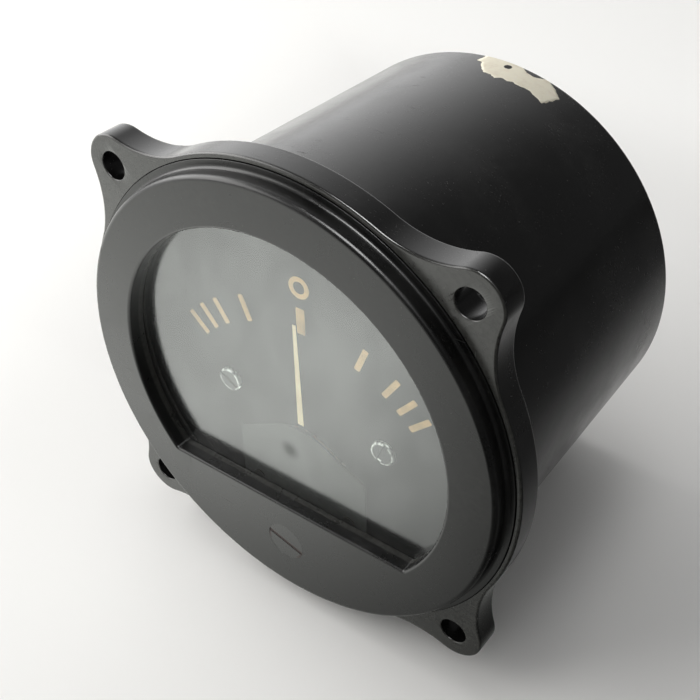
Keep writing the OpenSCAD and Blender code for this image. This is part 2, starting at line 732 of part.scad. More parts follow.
module mount_pillars() color(brass) each_at(mount_at) {
    difference() {
        translate([0, frame_back, 0]) rotate([-90, 0, 0])
            cylinder(r = pillar_r, h = back_inner - frame_back, $fn = 6);
        rod(small_screw_r + fit_gap, back_inner - mount_screw_grip - hole_spare, back_inner + 1);
    }
    rod(small_screw_r, frame_y, frame_back + eps);
}

module mount_screws() color(steel) each_at(mount_at) {
    rod(small_screw_r, back_inner - mount_screw_grip, case_depth + eps);
    rotate([180, 0, 0]) slotted_head(rear_head_r, -case_depth - rear_head_t, -case_depth, wide_slot_w, rear_slot_deep);
}

module resistor_bobbin() color([0.35, 0.2, 0.12]) translate([0, 0, bobbin_z]) difference() {
    union() {
        rod(bobbin_core_r, bobbin_y, bobbin_back);
        rod(bobbin_r, bobbin_y, bobbin_y + bobbin_cheek);
        rod(bobbin_r, bobbin_back - bobbin_cheek, bobbin_back);
    }
    rod(resistor_screw_r + fit_gap, bobbin_y - 1, bobbin_back + 1);
}

module resistor_winding() color([0.55, 0.33, 0.16]) translate([0, 0, bobbin_z])
    tube(bobbin_r - 1.2, bobbin_core_r, bobbin_y + bobbin_cheek, bobbin_back - bobbin_cheek);

module resistor_screw() color(brass) translate([0, 0, bobbin_z]) {
    slotted_head(resistor_head_r, bobbin_y - resistor_head_t, bobbin_y, resistor_head_r / 4, resistor_head_t / 2);
    rod(resistor_screw_r, bobbin_y - eps, back_inner + resistor_grip);
}

module terminal_studs() color(brass) each_at(stud_at) {
    rod(stud_head_r, back_inner - stud_head_t, back_inner);
    rod(stud_r, back_inner - eps, case_depth + stud_length);
}

module terminal_washers() color(brass) each_at(stud_at)
    tube(nut_r, stud_r + fit_gap, case_depth, case_depth + washer_t);

module terminal_nuts() color(brass) each_at(stud_at) {
    hex_nut(nut_r, stud_r + fit_gap, case_depth + washer_t, case_depth + washer_t + nut_t);
    hex_nut(nut_r, stud_r + fit_gap, case_depth + washer_t + nut_t + 0.1, case_depth + washer_t + 2 * nut_t);
}

// One lead runs straight from a stud to the frame, the other turns in to the resistor
module lead_wires() color([0.5, 0.12, 0.1]) {
    stud_y = back_inner - stud_head_t;
    bend = 2;
    turn_y = bobbin_y + bobbin_cheek / 2;
    translate([stud_x, 0, bobbin_z]) rod(wire_r, frame_back, stud_y);
    translate([-stud_x, 0, bobbin_z]) rod(wire_r, turn_y + bend, stud_y);
    translate([bend - stud_x, turn_y + bend, bobbin_z]) rotate([0, 0, 180]) rotate_extrude(angle = 90)
        translate([bend, 0]) circle(wire_r);
    translate([bend - stud_x, turn_y, bobbin_z]) rotate([0, 90, 0])
        cylinder(r = wire_r, h = stud_x - bend - bobbin_r - 0.1);
}

module case_skin(extra) {
    turned() polygon(concat([[0, flange_t]], case_profile(extra), [[0, case_depth + extra]]));
}

// What is left of a torn paper label, wrapped over the back edge of the case
module paper_label() color(cream) intersection() {
    difference() {
        case_skin(fit_gap + label_t);
        case_skin(fit_gap);
    }
    translate([0, case_depth, 0]) linear_extrude(2 * case_back_r) polygon(label_w * [
        [-0.11, -0.02], [-0.08, -0.18], [0.11, -0.41], [0.27, -0.46], [0.4, -0.43], [0.56, -0.4],
        [0.68, -0.39], [0.82, -0.44], [0.87, -0.36], [0.89, -0.2], [0.73, -0.06], [0.61, -0.025],
        [0.4, -0.03], [0.35, -0.02]]);
}

module zero_adjuster() color(black) translate(adjuster) difference() {
    union() {
        rod(adjuster_head_r, head_y, head_back - fit_gap);
        rod(adjuster_shaft_r, head_back - 0.1, clip_y);
        rod(clip_groove_r, clip_y - eps, clip_y + clip_t + eps);
        rod(adjuster_shaft_r, clip_y + clip_t, shaft_back);
        translate([0, 0, -pin_offset]) rod(pin_r, shaft_back - eps, corrector_y + corrector_t + 0.2);
    }
    rotate([0, -slot_turn, 0]) translate([-adjuster_head_r - 1, head_y - 1, -slot_w / 2])
        cube([2 * adjuster_head_r + 2, slot_depth + 1, slot_w]);
}

module adjuster_washer() color(steel) translate(adjuster)
    tube(2.7, adjuster_shaft_r + fit_gap, bezel_back + 0.05, clip_y - 0.05);

module adjuster_clip() color(steel) translate(adjuster) difference() {
    tube(clip_r, clip_groove_r + fit_gap, clip_y, clip_y + clip_t);
    translate([0, clip_y - 1, -clip_gap_half]) cube([2 * clip_r, clip_t + 2, 2 * clip_gap_half]);
}

module corrector_arm() color(brass) translate(pivot) {
    difference() {
        plate(corrector_y, corrector_y + corrector_t) {
            circle(corrector_r);
            translate([-1.1, -fork_tip]) square([2.2, fork_tip - 1]);
            rotate(front_anchor_angle) translate([0, -0.6]) square([anchor_circle_r + 0.5, 1.2]);
        }
        rod(jewel_screw_r + run_gap, corrector_y - 1, corrector_y + corrector_t + 1);
        translate([-fork_half, corrector_y - 1, -fork_tip - 1])
            cube([2 * fork_half, corrector_t + 2, fork_tip - fork_root + 1]);
    }
    anchor_pin(front_anchor_angle, corrector_y, spring_y + spring_w + 0.1);
}

// A frame round the core: half width, ends in depth, wall and half height
module coil_ring(half_w, y0, y1, wall, half_h) difference() {
    translate([-half_w - wall, y0 - wall, -half_h]) cube([2 * (half_w + wall), y1 - y0 + 2 * wall, 2 * half_h]);
    translate([-half_w, y0, -half_h - 1]) cube([2 * half_w, y1 - y0, 2 * half_h + 2]);
}

module coil_former() color([0.75, 0.76, 0.78]) translate(pivot)
    coil_ring(coil_inner, coil_y + coil_wall, coil_back - coil_wall, former_t, coil_half_h);

module coil_winding() color([0.6, 0.3, 0.14]) translate(pivot)
    coil_ring(coil_inner + former_t, coil_y + winding_t, coil_back - winding_t, winding_t, coil_half_h);

module pivot_staffs() color(steel) translate(pivot) {
    rod(base_r, coil_y - base_t, coil_y);
    rod(staff_r, front_screw_back - staff_tip, coil_y - base_t + eps);
    rod(collet_r, spring_y - 0.1, spring_y + spring_w + 0.1);
    rod(base_r, coil_back, coil_back + base_t);
    rod(staff_r, coil_back + base_t - eps, rear_cup_y + staff_tip);
    rod(collet_r, rear_spring_y - 0.1, rear_spring_y + spring_w + 0.1);
}

module balance_cross() color(brass) translate(pivot) difference() {
    union() {
        rod(hub_r, cross_y, cross_y + cross_t);
        for (a = [-90, 0, 180]) rotate([0, -a, 0]) {
            translate([collet_r, cross_y, -balance_arm_w / 2]) cube([balance_r - collet_r, cross_t, balance_arm_w]);
            translate([balance_r - 1.8 * balance_weight, cross_y, -balance_weight / 2])
                cube([balance_weight, cross_t, balance_weight]);
        }
    }
    rod(staff_r + fit_gap, cross_y - 1, cross_y + cross_t + 1);
}

module pointer_blade(from_r) {
    w0 = pointer_root_w + (pointer_tip_w - pointer_root_w) * (from_r - crank_r) / (pointer_tip_r - crank_r);
    polygon([[-w0 / 2, from_r], [w0 / 2, from_r], [pointer_tip_w / 2, pointer_tip_r],
        [-pointer_tip_w / 2, pointer_tip_r]]);
}

module pointer() color(black) translate(pivot) {
    difference() {
        plate(pointer_root_y, pointer_root_y + pointer_root_t) {
            circle(hub_r);
            translate([-pointer_root_w / 2, 1]) square([pointer_root_w, crank_r - 1]);
        }
        rod(staff_r + fit_gap, pointer_root_y - 1, pointer_root_y + pointer_root_t + 1);
    }
    translate([-pointer_root_w / 2, pointer_y, crank_r - pointer_t])
        cube([pointer_root_w, pointer_root_y + pointer_root_t - pointer_y, pointer_t]);
    plate(pointer_y, pointer_y + pointer_t) pointer_blade(crank_r - pointer_t);
}

module pointer_paint() color(cream) translate(pivot)
    plate(pointer_y - paint_t, pointer_y) pointer_blade(pointer_paint_r);

// A flat spiral strip from the collet to the anchor's angle
module spiral(end_angle) {
    steps = 24 * spring_turns;
    r0 = collet_r + spring_t / 2;
    r1 = spring_r - spring_t / 2;
    path = [for (i = [0 : steps]) let (t = i / steps) [r0 + (r1 - r0) * t, end_angle - 360 * spring_turns * (1 - t)]];
    polygon(concat(
        [for (p = path) (p[0] + spring_t / 2) * [cos(p[1]), sin(p[1])]],
        [for (i = [steps : -1 : 0]) let (p = path[i]) (p[0] - spring_t / 2) * [cos(p[1]), sin(p[1])]]));
}

module front_hairspring() color([0.7, 0.72, 0.75]) translate(pivot)
    plate(spring_y, spring_y + spring_w) spiral(front_anchor_angle);

module rear_hairspring() color([0.7, 0.72, 0.75]) translate(pivot)
    plate(rear_spring_y, rear_spring_y + spring_w) spiral(rear_anchor_angle);

case_body();
bezel();
bezel_screws();
window_glass();
glass_gasket();
dial_plate();
dial_marks();
dial_screws();
dial_pillars();
pivot_cover();
cover_posts();
cover_screws();
pointer_stops();
front_bridge();
bridge_screws();
front_jewel_screw();
front_lock_nut();
magnet();
pole_pieces();
core();
core_supports();
movement_frame();
frame_screws();
rear_jewel_screw();
rear_lock_nut();
rear_anchor();
mount_pillars();
mount_screws();
resistor_bobbin();
resistor_winding();
resistor_screw();
terminal_studs();
terminal_washers();
terminal_nuts();
lead_wires();
paper_label();
zero_adjuster();
adjuster_washer();
adjuster_clip();
corrector_arm();
coil_former();
coil_winding();
pivot_staffs();
balance_cross();
pointer();
pointer_paint();
front_hairspring();
rear_hairspring();
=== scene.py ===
"""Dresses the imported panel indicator: moulded case, bezel, glass, dial, pointer, label and terminals."""

import json
import math

import bmesh
import bpy
import numpy as np
from bpy.props import FloatProperty, FloatVectorProperty, PointerProperty
from bpy.types import Operator, Panel, PropertyGroup
from mathutils import Matrix, Vector


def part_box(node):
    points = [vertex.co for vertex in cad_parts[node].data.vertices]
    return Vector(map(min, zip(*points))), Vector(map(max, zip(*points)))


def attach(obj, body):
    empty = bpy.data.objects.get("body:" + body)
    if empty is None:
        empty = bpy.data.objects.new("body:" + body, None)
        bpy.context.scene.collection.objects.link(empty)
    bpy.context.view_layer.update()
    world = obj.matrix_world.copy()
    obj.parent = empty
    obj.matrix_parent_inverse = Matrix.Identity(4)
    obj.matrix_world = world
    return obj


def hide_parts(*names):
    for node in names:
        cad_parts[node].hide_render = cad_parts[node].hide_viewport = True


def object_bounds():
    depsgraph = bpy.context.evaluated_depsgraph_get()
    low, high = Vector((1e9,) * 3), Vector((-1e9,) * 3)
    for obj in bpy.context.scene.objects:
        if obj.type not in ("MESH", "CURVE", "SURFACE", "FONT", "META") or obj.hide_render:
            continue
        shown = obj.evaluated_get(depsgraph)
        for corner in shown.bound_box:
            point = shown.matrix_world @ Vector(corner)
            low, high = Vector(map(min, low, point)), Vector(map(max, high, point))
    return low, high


bl_info = {
    "name": "Panel Indicator",
    "version": (1, 0, 0),
    "blender": (4, 5, 0),
    "location": "View3D > Sidebar > Indicator",
    "description": "Dresses a moving-coil panel indicator in worn black moulding, glass and aged paint",
    "category": "Object",
}

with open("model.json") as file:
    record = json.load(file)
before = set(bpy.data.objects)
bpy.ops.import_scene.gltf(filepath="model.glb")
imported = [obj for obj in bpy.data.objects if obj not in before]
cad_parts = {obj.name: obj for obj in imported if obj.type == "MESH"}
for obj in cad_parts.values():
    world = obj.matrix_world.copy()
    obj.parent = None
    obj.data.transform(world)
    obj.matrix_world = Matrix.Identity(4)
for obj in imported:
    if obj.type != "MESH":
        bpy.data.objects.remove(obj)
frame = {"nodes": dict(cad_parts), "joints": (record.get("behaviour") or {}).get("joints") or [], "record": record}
cad_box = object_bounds()

MM = 0.001
HOLES = next(m["dims"] for m in frame["record"]["mounts"] if m["name"] == "panel_holes")
JOINTS = {j["name"]: j for j in frame["joints"]}
HOUSING, ADJUSTER = "housing", "adjuster"
# The directions of the four ears, from the centre
EARS = [math.pi / 4 + quarter * math.pi / 2 for quarter in range(4)]

# Gap between an arc's end and the point that keeps its shading off the flat beside it
GUARD = 0.04 * MM
# Points nearer than these are merged: at a pole, and along a cut
POLE_GAP, CUT_GAP = 1e-8, 0.001 * MM
# Edges sharper than this stay sharp
CREASE = math.radians(32)
# The flange stays this far inside the box of the frame
FLANGE_ROOM = 0.003 * MM
# The middle of a small round spot on the glass where the gloss is weaker
WEAK_GLOSS_SPOT = (-0.2 * MM, 0.4 * MM, -9.8 * MM)
# Linear colours of the dust specks, the grime and painted shade in the adjuster's slot, the worn dial paint and
# the bare moulding
SPECK, SLOT_DIRT_AND_SHADE = (0.35, 0.34, 0.3), (0.05, 0.034, 0.03)
WORN_PAINT, BARE = (0.07, 0.07, 0.066), (0.012, 0.012, 0.011)
# Linear colours of brass and of the tarnish on it
BRASS, TARNISH = (0.6, 0.44, 0.19), (0.3, 0.19, 0.08)


def node_low(node):
    """The lowest corner of a node's box."""
    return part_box(node)[0]


def node_high(node):
    """The highest corner of a node's box."""
    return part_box(node)[1]


def length(name, default, description):
    """A size in metres that the sidebar shows as a length."""
    return FloatProperty(name=name, default=default, description=description, min=0.0, unit="LENGTH",
                         precision=5)


def colour(name, default, description):
    """A linear colour without alpha."""
    return FloatVectorProperty(name=name, default=default, description=description, subtype="COLOR",
                               min=0.0, max=1.0)


def place_of(name, default, description):
    """A place in metres."""
    return FloatVectorProperty(name=name, default=default, description=description, subtype="TRANSLATION",
                               unit="LENGTH", precision=5)


class CaseSizes(PropertyGroup):
    """Sizes of the case, its flange and its ears, and the moulding's colours"""

    ear_circle: length("Ear circle", HOLES["pcd_mm"] / 2 * MM, "Radius of the ear holes' circle")
    ear_hole: length("Ear hole", HOLES["hole_r_mm"] * MM, "Radius of an ear hole")
    ear_hole_edge: length("Hole edge", 0.22 * MM, "Rounding of an ear hole's rim")
    ear_tip: length("Ear tip", 5.05 * MM, "Radius of an ear's round tip")
    ear_flank: length("Ear flank", 18 * MM, "Radius of an ear's hollow flank")
    flange: length("Flange", cad_box[1][0] - FLANGE_ROOM, "Radius of the flange")
    thickness: length("Flange thickness", 4.6 * MM, "Thickness of the flange and ears")
    edge: length("Flange edge", 0.38 * MM, "Rounding of the flange's edges")
    front: length("Case front", 37.1 * MM, "Radius of the case behind the flange")
    back: length("Case back", 36.2 * MM, "Radius of the case at its back edge")
    back_edge: length("Back edge", 0.6 * MM, "Rounding of the case's back edge")
    depth: length("Depth", node_high("case_body").y, "Depth of the case from the front of the ears")
    wall: length("Wall", 3.3 * MM, "Wall of the case")
    back_wall: length("Back wall", 3.0 * MM, "Thickness of the back of the case")
    recess: length("Recess", 40.35 * MM, "Radius of the recess that takes the bezel's lip")
    ledge: length("Ledge", 32.27 * MM, "Inner radius of the ledge behind the glass")
    moulding: colour("Moulding", (0.0035, 0.0035, 0.0034), "Colour of the black moulding")
    bloom: colour("Bloom", (0.075, 0.075, 0.068), "Colour of the dull film on the moulding")


class BezelSizes(PropertyGroup):
    """Sizes of the bezel and its window"""

    window: length("Window", 30.97 * MM, "Radius of the window")
    flat: length("Window flat", 19.7 * MM, "Distance of the window's flat below the centre")
    corner: length("Window corner", 0.7 * MM, "Radius of the window's two corners")
    window_edge: length("Window edge", 0.5 * MM, "Rounding of the window's front edge")
    cover: length("Glass cover", 2.7 * MM, "Width of the rebate that takes the glass")
    seat: length("Glass seat", 0.1 * MM, "Depth of the glass seat behind the ears' front")
    rim: length("Bezel rim", 38.9 * MM, "Radius of the bezel's side wall")
    edge: length("Bezel edge", 0.75 * MM, "Rounding of the bezel's front edge")
    cove: length("Bezel cove", 0.55 * MM, "Radius of the hollow at the foot of the wall")
    lip: length("Bezel lip", node_high("bezel").x, "Radius of the lip")
    lip_face: length("Lip face", 0.2 * MM, "Rise of the lip above the front of the ears")
    rise: length("Bezel rise", -node_low("bezel").y, "Height of the bezel's face above the ears")
    lip_depth: length("Lip depth", node_high("bezel").y, "Depth of the lip in the flange")


class AdjusterSizes(PropertyGroup):
    """Sizes of the zero adjuster"""

    head: length("Head", 3.6 * MM, "Radius of the zero adjuster's head")
    head_edge: length("Head edge", 0.03 * MM, "Rounding of the head")
    sink: length("Sink", 0.01 * MM, "Depth of the head below the bezel's face")
    thick: length("Head thickness", 1.68 * MM, "Thickness of the head")
    shaft: length("Shaft", 1.5 * MM, "Radius of the shaft")
    bore: length("Bore", 3.608 * MM, "Radius of the counterbore in the bezel")
    slot: length("Slot width", 0.7 * MM, "Width of the driver slot")
    slot_depth: length("Slot depth", 0.12 * MM, "Depth of the driver slot")
    slot_turn: FloatProperty(name="Slot turn", default=math.radians(16.3), subtype="ANGLE",
                             description="Turn of the driver slot from level")


class DialColours(PropertyGroup):
    """Colours behind the glass"""

    ground: colour("Dial ground", (0.008, 0.0085, 0.008), "Colour of the dial's dull black paint")
    cover: colour("Cover", (0.06, 0.061, 0.058), "Colour of the pivot cover's paint")
    marks: colour("Marks", (0.78, 0.5, 0.2), "Colour of the aged paint of the marks")
    pointer: colour("Pointer", (0.96, 0.77, 0.47), "Colour of the pointer's paint")
    screws: colour("Dial screws", (0.05, 0.05, 0.05), "Colour of the dial screws' finish")
    worn: colour("Worn rims", (0.85, 0.85, 0.82), "Colour of the metal at the dial screws' worn rims")


class LabelSizes(PropertyGroup):
    """Sizes and colour of the torn label"""

    rise: length("Paper rise", 0.02 * MM, "Gap between the case and the paper")
    thick: length("Paper thickness", 0.06 * MM, "Thickness of the paper")
    gap_place: length("Torn spot", 4.1 * MM, "Place of the torn spot to the right of the middle")
    gap_back: length("Torn spot's depth", 2.1 * MM, "Distance of the torn spot from the back of the case")
    paper: colour("Paper", (0.86, 0.81, 0.66), "Colour of the aged paper")


class TerminalSizes(PropertyGroup):
    """Sizes of the terminals"""

    stud: length("Stud", 2.4 * MM, "Radius of a terminal stud")
    stud_head: length("Stud head", 3.6 * MM, "Radius of a stud's head inside the case")
    pitch: length("Pitch", 0.794 * MM, "Pitch of the stud's thread")
    thread: length("Thread depth", 0.42 * MM, "Depth of the stud's thread")
    nut: length("Nut", 5.0 * MM, "Radius across the nut's corners")
    washer: length("Washer", 0.8 * MM, "Thickness of the washer")
    nut_height: length("Nut height", 3.2 * MM, "Thickness of a nut")


class StudioSettings(PropertyGroup):
    """Place of the camera, and the floor"""

    camera_place: place_of("Camera place", (0.08544, -0.09273, 0.10685), "Where the camera stands")
    camera_aim: place_of("Camera aim", (0.00471, 0.01011, 0.0062), "The point that the camera looks at")
    camera_roll: FloatProperty(name="Camera roll", default=math.radians(-1.8), subtype="ANGLE",
                               description="Turn of the camera about its line of sight")
    lens: FloatProperty(name="Lens", default=55.12, min=1.0,
                        description="Focal length on a 36 mm sensor, in mm")
    floor_front: length("Floor", 41.13 * MM, "Depth of the floor below the centre, at the flange")
    floor_colour: colour("Floor", (0.86, 0.855, 0.84), "Colour of the floor")


GROUPS = {
    "indicator_case": CaseSizes,
    "indicator_bezel": BezelSizes,
    "indicator_adjuster": AdjusterSizes,
    "indicator_dial": DialColours,
    "indicator_label": LabelSizes,
    "indicator_terminals": TerminalSizes,
    "indicator_studio": StudioSettings,
}


def arc(centre, radius, start, end, steps):
    """Points centre + radius (cos a, sin a), with a in degrees from start to end."""
    a = np.radians(np.linspace(start, end, steps + 1))
    return np.stack([centre[0] + radius * np.cos(a), centre[1] + radius * np.sin(a)], 1)


def rounded(corners, radii, steps):
    """A polyline whose corners are arcs tangent to both legs, with a guard point on each side of an arc."""
    corners = np.asarray(corners, float)
    out = [corners[:1]]
    for before, here, after, radius in zip(corners[:-2], corners[1:-1], corners[2:], radii):
        if radius <= 0:
            out.append(here[None])
            continue
        a, b = before - here, after - here
        a, b = a / np.linalg.norm(a), b / np.linalg.norm(b)
        half = math.acos(float(np.clip(a @ b, -1, 1))) / 2
        reach = radius / math.tan(half)
        middle = here + (a + b) / np.linalg.norm(a + b) * radius / math.sin(half)
        first, last = here + a * reach, here + b * reach
        t = np.linspace(0, 1, steps + 1)[:, None]
        u, v = (first - middle) / radius, (last - middle) / radius
        turn = math.acos(float(np.clip(u @ v, -1, 1)))
        bend = middle + radius * (np.sin((1 - t) * turn) * u + np.sin(t * turn) * v) / math.sin(turn)
        out += [(first + a * GUARD)[None], bend, (last + b * GUARD)[None]]
    out.append(corners[-1:])
    return np.concatenate(out)


def circle_rows(profile, angles):
    """Rows x = r cos a, z = r sin a at depth y, for each (r, y) of the profile."""
    r, y = profile[:, 0][:, None], profile[:, 1][:, None] * np.ones(len(angles))
    return np.stack([r * np.cos(angles), y, r * np.sin(angles)], 2)


def outline_rows(profile, outline, normal):
    """Rows at outline - d normal, at depth y, for each (d, y) of the profile."""
    d, y = profile[:, 0][:, None, None], profile[:, 1]
    flat = outline[None] - d * normal[None]
    return np.stack([flat[..., 0], np.broadcast_to(y[:, None], flat.shape[:2]), flat[..., 1]], 2)


def grid_mesh(name, rows, close_rows=False, outward=True):
    """Quads between neighbouring rows and columns.

    Each row is closed, doubles at a pole are merged, and faces are turned outwards.
    """
    m, n = rows.shape[:2]
    i = np.arange(m if close_rows else m - 1)[:, None]
    j = np.arange(n)[None]
    i2, j2 = (i + 1) % m, (j + 1) % n
    quads = np.stack([i * n + j, i * n + j2, i2 * n + j2, i2 * n + j], 2).reshape(-1, 4)
    mesh = bpy.data.meshes.new(name)
    mesh.from_pydata(rows.reshape(-1, 3).tolist(), [], quads.tolist())
    bm = bmesh.new()
    bm.from_mesh(mesh)
    bmesh.ops.remove_doubles(bm, verts=bm.verts, dist=POLE_GAP)
    bmesh.ops.dissolve_degenerate(bm, edges=bm.edges, dist=0.1 * POLE_GAP)
    if outward:
        bmesh.ops.recalc_face_normals(bm, faces=bm.faces)
    bm.to_mesh(mesh)
    bm.free()
    return mesh


def turned(name, profile, columns, place, close_rows=False):
    """A profile of (r, y) turned about a line along Y through a place."""
    angles = np.linspace(0, 2 * math.pi, columns, endpoint=False)
    return grid_mesh(name, circle_rows(np.asarray(profile, float), angles) + place, close_rows)


def polar_mesh(name, radius, depth, angles, place, close_rows=False):
    """Rows x = r cos a, z = r sin a at depth y, about a line along Y through a place, for a grid of r."""
    depth = np.broadcast_to(depth, radius.shape)
    rows = np.stack([radius * np.cos(angles) + place[0], depth, radius * np.sin(angles) + place[2]], 2)
    return grid_mesh(name, rows, close_rows)


def box_mesh(name, size, place, turn):
    """A box of the given size, turned about the Y axis, with its centre at a place."""
    s = np.array([(x, y, z) for x in (-0.5, 0.5) for y in (-0.5, 0.5) for z in (-0.5, 0.5)]) * size
    c, d = math.cos(turn), math.sin(turn)
    p = np.stack([s[:, 0] * c + s[:, 2] * d, s[:, 1], s[:, 2] * c - s[:, 0] * d], 1) + place
    faces = [(0, 1, 3, 2), (4, 6, 7, 5), (0, 4, 5, 1), (2, 3, 7, 6), (0, 2, 6, 4), (1, 5, 7, 3)]
    mesh = bpy.data.meshes.new(name)
    mesh.from_pydata(p.tolist(), [], faces)
    return mesh


def joined(name, meshes, gap=None):
    """One mesh that holds several. Points nearer than the gap are merged."""
    bm = bmesh.new()
    for mesh in meshes:
        bm.from_mesh(mesh)
    if gap is not None:
        bmesh.ops.remove_doubles(bm, verts=bm.verts, dist=gap)
    out = bpy.data.meshes.new(name)
    bm.to_mesh(out)
    bm.free()
    return out


def carve(mesh, cutters):
    """The mesh less the cutters, by an exact boolean for each."""
    body = bpy.data.objects.new("carved", mesh)
    bpy.context.collection.objects.link(body)
    tools = []
    for i, cutter in enumerate(cutters):
        tool = bpy.data.objects.new(f"cutter_{i}", cutter)
        bpy.context.collection.objects.link(tool)
        cut = body.modifiers.new(f"cut_{i}", "BOOLEAN")
        cut.operation, cut.solver, cut.object = "DIFFERENCE", "EXACT", tool
        tools.append(tool)
    view = bpy.context.evaluated_depsgraph_get()
    out = bpy.data.meshes.new_from_object(body.evaluated_get(view))
    for o in (body, *tools):
        bpy.data.objects.remove(o)
    return joined(mesh.name, [out], CUT_GAP)


def add_piece(name, mesh, material, body, node, flat_at=None):
    """Puts a mesh into the scene in place of a node: smooth below the crease angle, riding on its body.

    The faces that lie at the depth flat_at and look to the front stay flat.
    """
    mesh.name = name
    piece = bpy.data.objects.new(name, mesh)
    bpy.context.scene.collection.objects.link(piece)
    mesh.shade_smooth()
    if flat_at is not None:
        middle, normal = np.empty((2, len(mesh.polygons) * 3))
        mesh.polygons.foreach_get("center", middle)
        mesh.polygons.foreach_get("normal", normal)
        off_plane, straight = 0.006 * MM, -0.999
        bent = (np.abs(middle[1::3] - flat_at) > off_plane) | (normal[1::3] > straight)
        mesh.polygons.foreach_set("use_smooth", bent)
    mesh.set_sharp_from_angle(angle=CREASE)
    keep = piece.modifiers.new("even_normals", "WEIGHTED_NORMAL")
    keep.mode, keep.keep_sharp, keep.weight = "FACE_AREA", True, 80
    piece.data.materials.clear()
    piece.data.materials.append(material)
    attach(piece, body)
    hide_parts(node)
    return piece


def add_node(tree, kind, inputs=None, **settings):
    """A shader node. Its inputs are sockets to link or values to hold."""
    n = tree.nodes.new(kind)
    for key, value in settings.items():
        setattr(n, key, value)
    for key, value in (inputs or {}).items():
        if isinstance(value, bpy.types.NodeSocket):
            tree.links.new(value, n.inputs[key])
        else:
            n.inputs[key].default_value = value
    return n


class Finish:
    """A procedural material on Object coordinates, built node by node."""

    def __init__(self, name, colour_value=(0.5, 0.5, 0.5), roughness=0.5, metallic=0.0, **sockets):
        self.material = bpy.data.materials.new(name)
        self.material.use_nodes = True
        self.tree = self.material.node_tree
        self.shader = self.tree.nodes["Principled BSDF"]
        self.set("Base Color", (*colour_value, 1.0))
        self.set("Roughness", roughness)
        self.set("Metallic", metallic)
        for socket, value in sockets.items():
            self.set(socket.replace("_", " "), value)
        self.place = self.node("ShaderNodeTexCoord").outputs["Object"]

    def set(self, socket, value):
        """Holds a constant on the shader's own socket."""
        self.shader.inputs[socket].default_value = value

    def link(self, source, socket):
        """Feeds the shader's socket."""
        self.tree.links.new(source, self.shader.inputs[socket])

    def show(self, shader):
        """Makes another shader the surface."""
        self.tree.links.new(shader.outputs[0], self.tree.nodes["Material Output"].inputs["Surface"])

    def node(self, kind, inputs=None, **settings):
        """A node of this material."""
        return add_node(self.tree, kind, inputs, **settings)

    def mapped(self, scale=(1, 1, 1), turn=(0, 0, 0), move=(0, 0, 0)):
        """The object's coordinates, moved, turned and stretched."""
        inputs = {"Vector": self.place, "Scale": scale, "Rotation": turn, "Location": move}
        return self.node("ShaderNodeMapping", inputs).outputs["Vector"]

    def noise(self, size, detail, rough, warp=0.0, vector=None):
        """Noise whose blotches are about a given size in metres across."""
        inputs = {"Vector": vector or self.place, "Scale": 1.0 / size, "Detail": detail, "Roughness": rough,
                  "Distortion": warp}
        return self.node("ShaderNodeTexNoise", inputs).outputs["Fac"]

    def cells(self, size):
        """Distance to the nearest of points that lie about a given size apart."""
        inputs = {"Vector": self.place, "Scale": 1.0 / size}
        return self.node("ShaderNodeTexVoronoi", inputs).outputs["Distance"]

    def band(self, value, low, high, out_low=0.0, out_high=1.0):
        """Maps low to high smoothly onto an output range, held at both ends."""
        inputs = {"Value": value, "From Min": low, "From Max": high, "To Min": out_low, "To Max": out_high}
        return self.node("ShaderNodeMapRange", inputs, interpolation_type="SMOOTHSTEP").outputs["Result"]

    def math(self, operation, a, b=0.5):
        """What a maths operation gives."""
        return self.node("ShaderNodeMath", {0: a, 1: b}, operation=operation).outputs["Value"]

    def vector(self, operation, a, b=(0, 0, 0), out="Vector"):
        """What a vector operation gives: a vector, or a number with "Value"."""
        return self.node("ShaderNodeVectorMath", {0: a, 1: b}, operation=operation).outputs[out]

    def product(self, first, *others):
        """The product of two or more values."""
        for other in others:
            first = self.math("MULTIPLY", first, other)
        return first

    def total(self, first, *others):
        """The sum of two or more values."""
        for other in others:
            first = self.math("ADD", first, other)
        return first

    def mix(self, factor, a, b):
        """Blends two colours, or two sockets that carry them."""
        a, b = (c if isinstance(c, bpy.types.NodeSocket) else (*c, 1.0) for c in (a, b))
        return self.node("ShaderNodeMix", {0: factor, 6: a, 7: b}, data_type="RGBA").outputs[2]

    def depth_of(self, axis):
        """One coordinate of the surface, in metres."""
        return self.node("ShaderNodeSeparateXYZ", {"Vector": self.place}).outputs[axis]

    def radius(self, vector=None):
        """Distance from the Y axis."""
        flat = self.vector("MULTIPLY", vector or self.place, (1, 0, 1))
        return self.vector("LENGTH", flat, out="Value")

    def radius_from(self, place):
        """Distance from a place."""
        return self.vector("DISTANCE", self.place, place, "Value")

    def bump(self, height, strength, distance, normal=None):
        """A normal tilted by a height, on top of another normal if one is given."""
        inputs = {"Height": height, "Strength": strength, "Distance": distance}
        if normal:
            inputs["Normal"] = normal
        return self.node("ShaderNodeBump", inputs).outputs["Normal"]


def slot_dirt_and_shade(f, depth, centre, radius, turn):
    """Where a slotted head is darkened by grime and painted shade: behind the depth, and at the rim below the
    slot's ends.
    """
    inputs = {"Vector": f.place, "Location": tuple(centre), "Rotation": (0, turn, 0)}
    local = f.node("ShaderNodeMapping", inputs, vector_type="TEXTURE").outputs["Vector"]
    split = f.node("ShaderNodeSeparateXYZ", {"Vector": local}).outputs
    rim = f.product(
        f.band(f.radius(local), radius - 0.5 * MM, radius - 0.2 * MM),
        f.band(f.math("ABSOLUTE", split["X"]), 0.6 * radius, 0.75 * radius),
        f.band(split["Z"], 0.5 * MM, 0.2 * MM), f.band(split["Z"], -0.6 * radius, -0.45 * radius))
    return f.math("MAXIMUM", f.band(f.depth_of("Y"), depth, depth + 0.05 * MM), f.product(rim, 0.8))


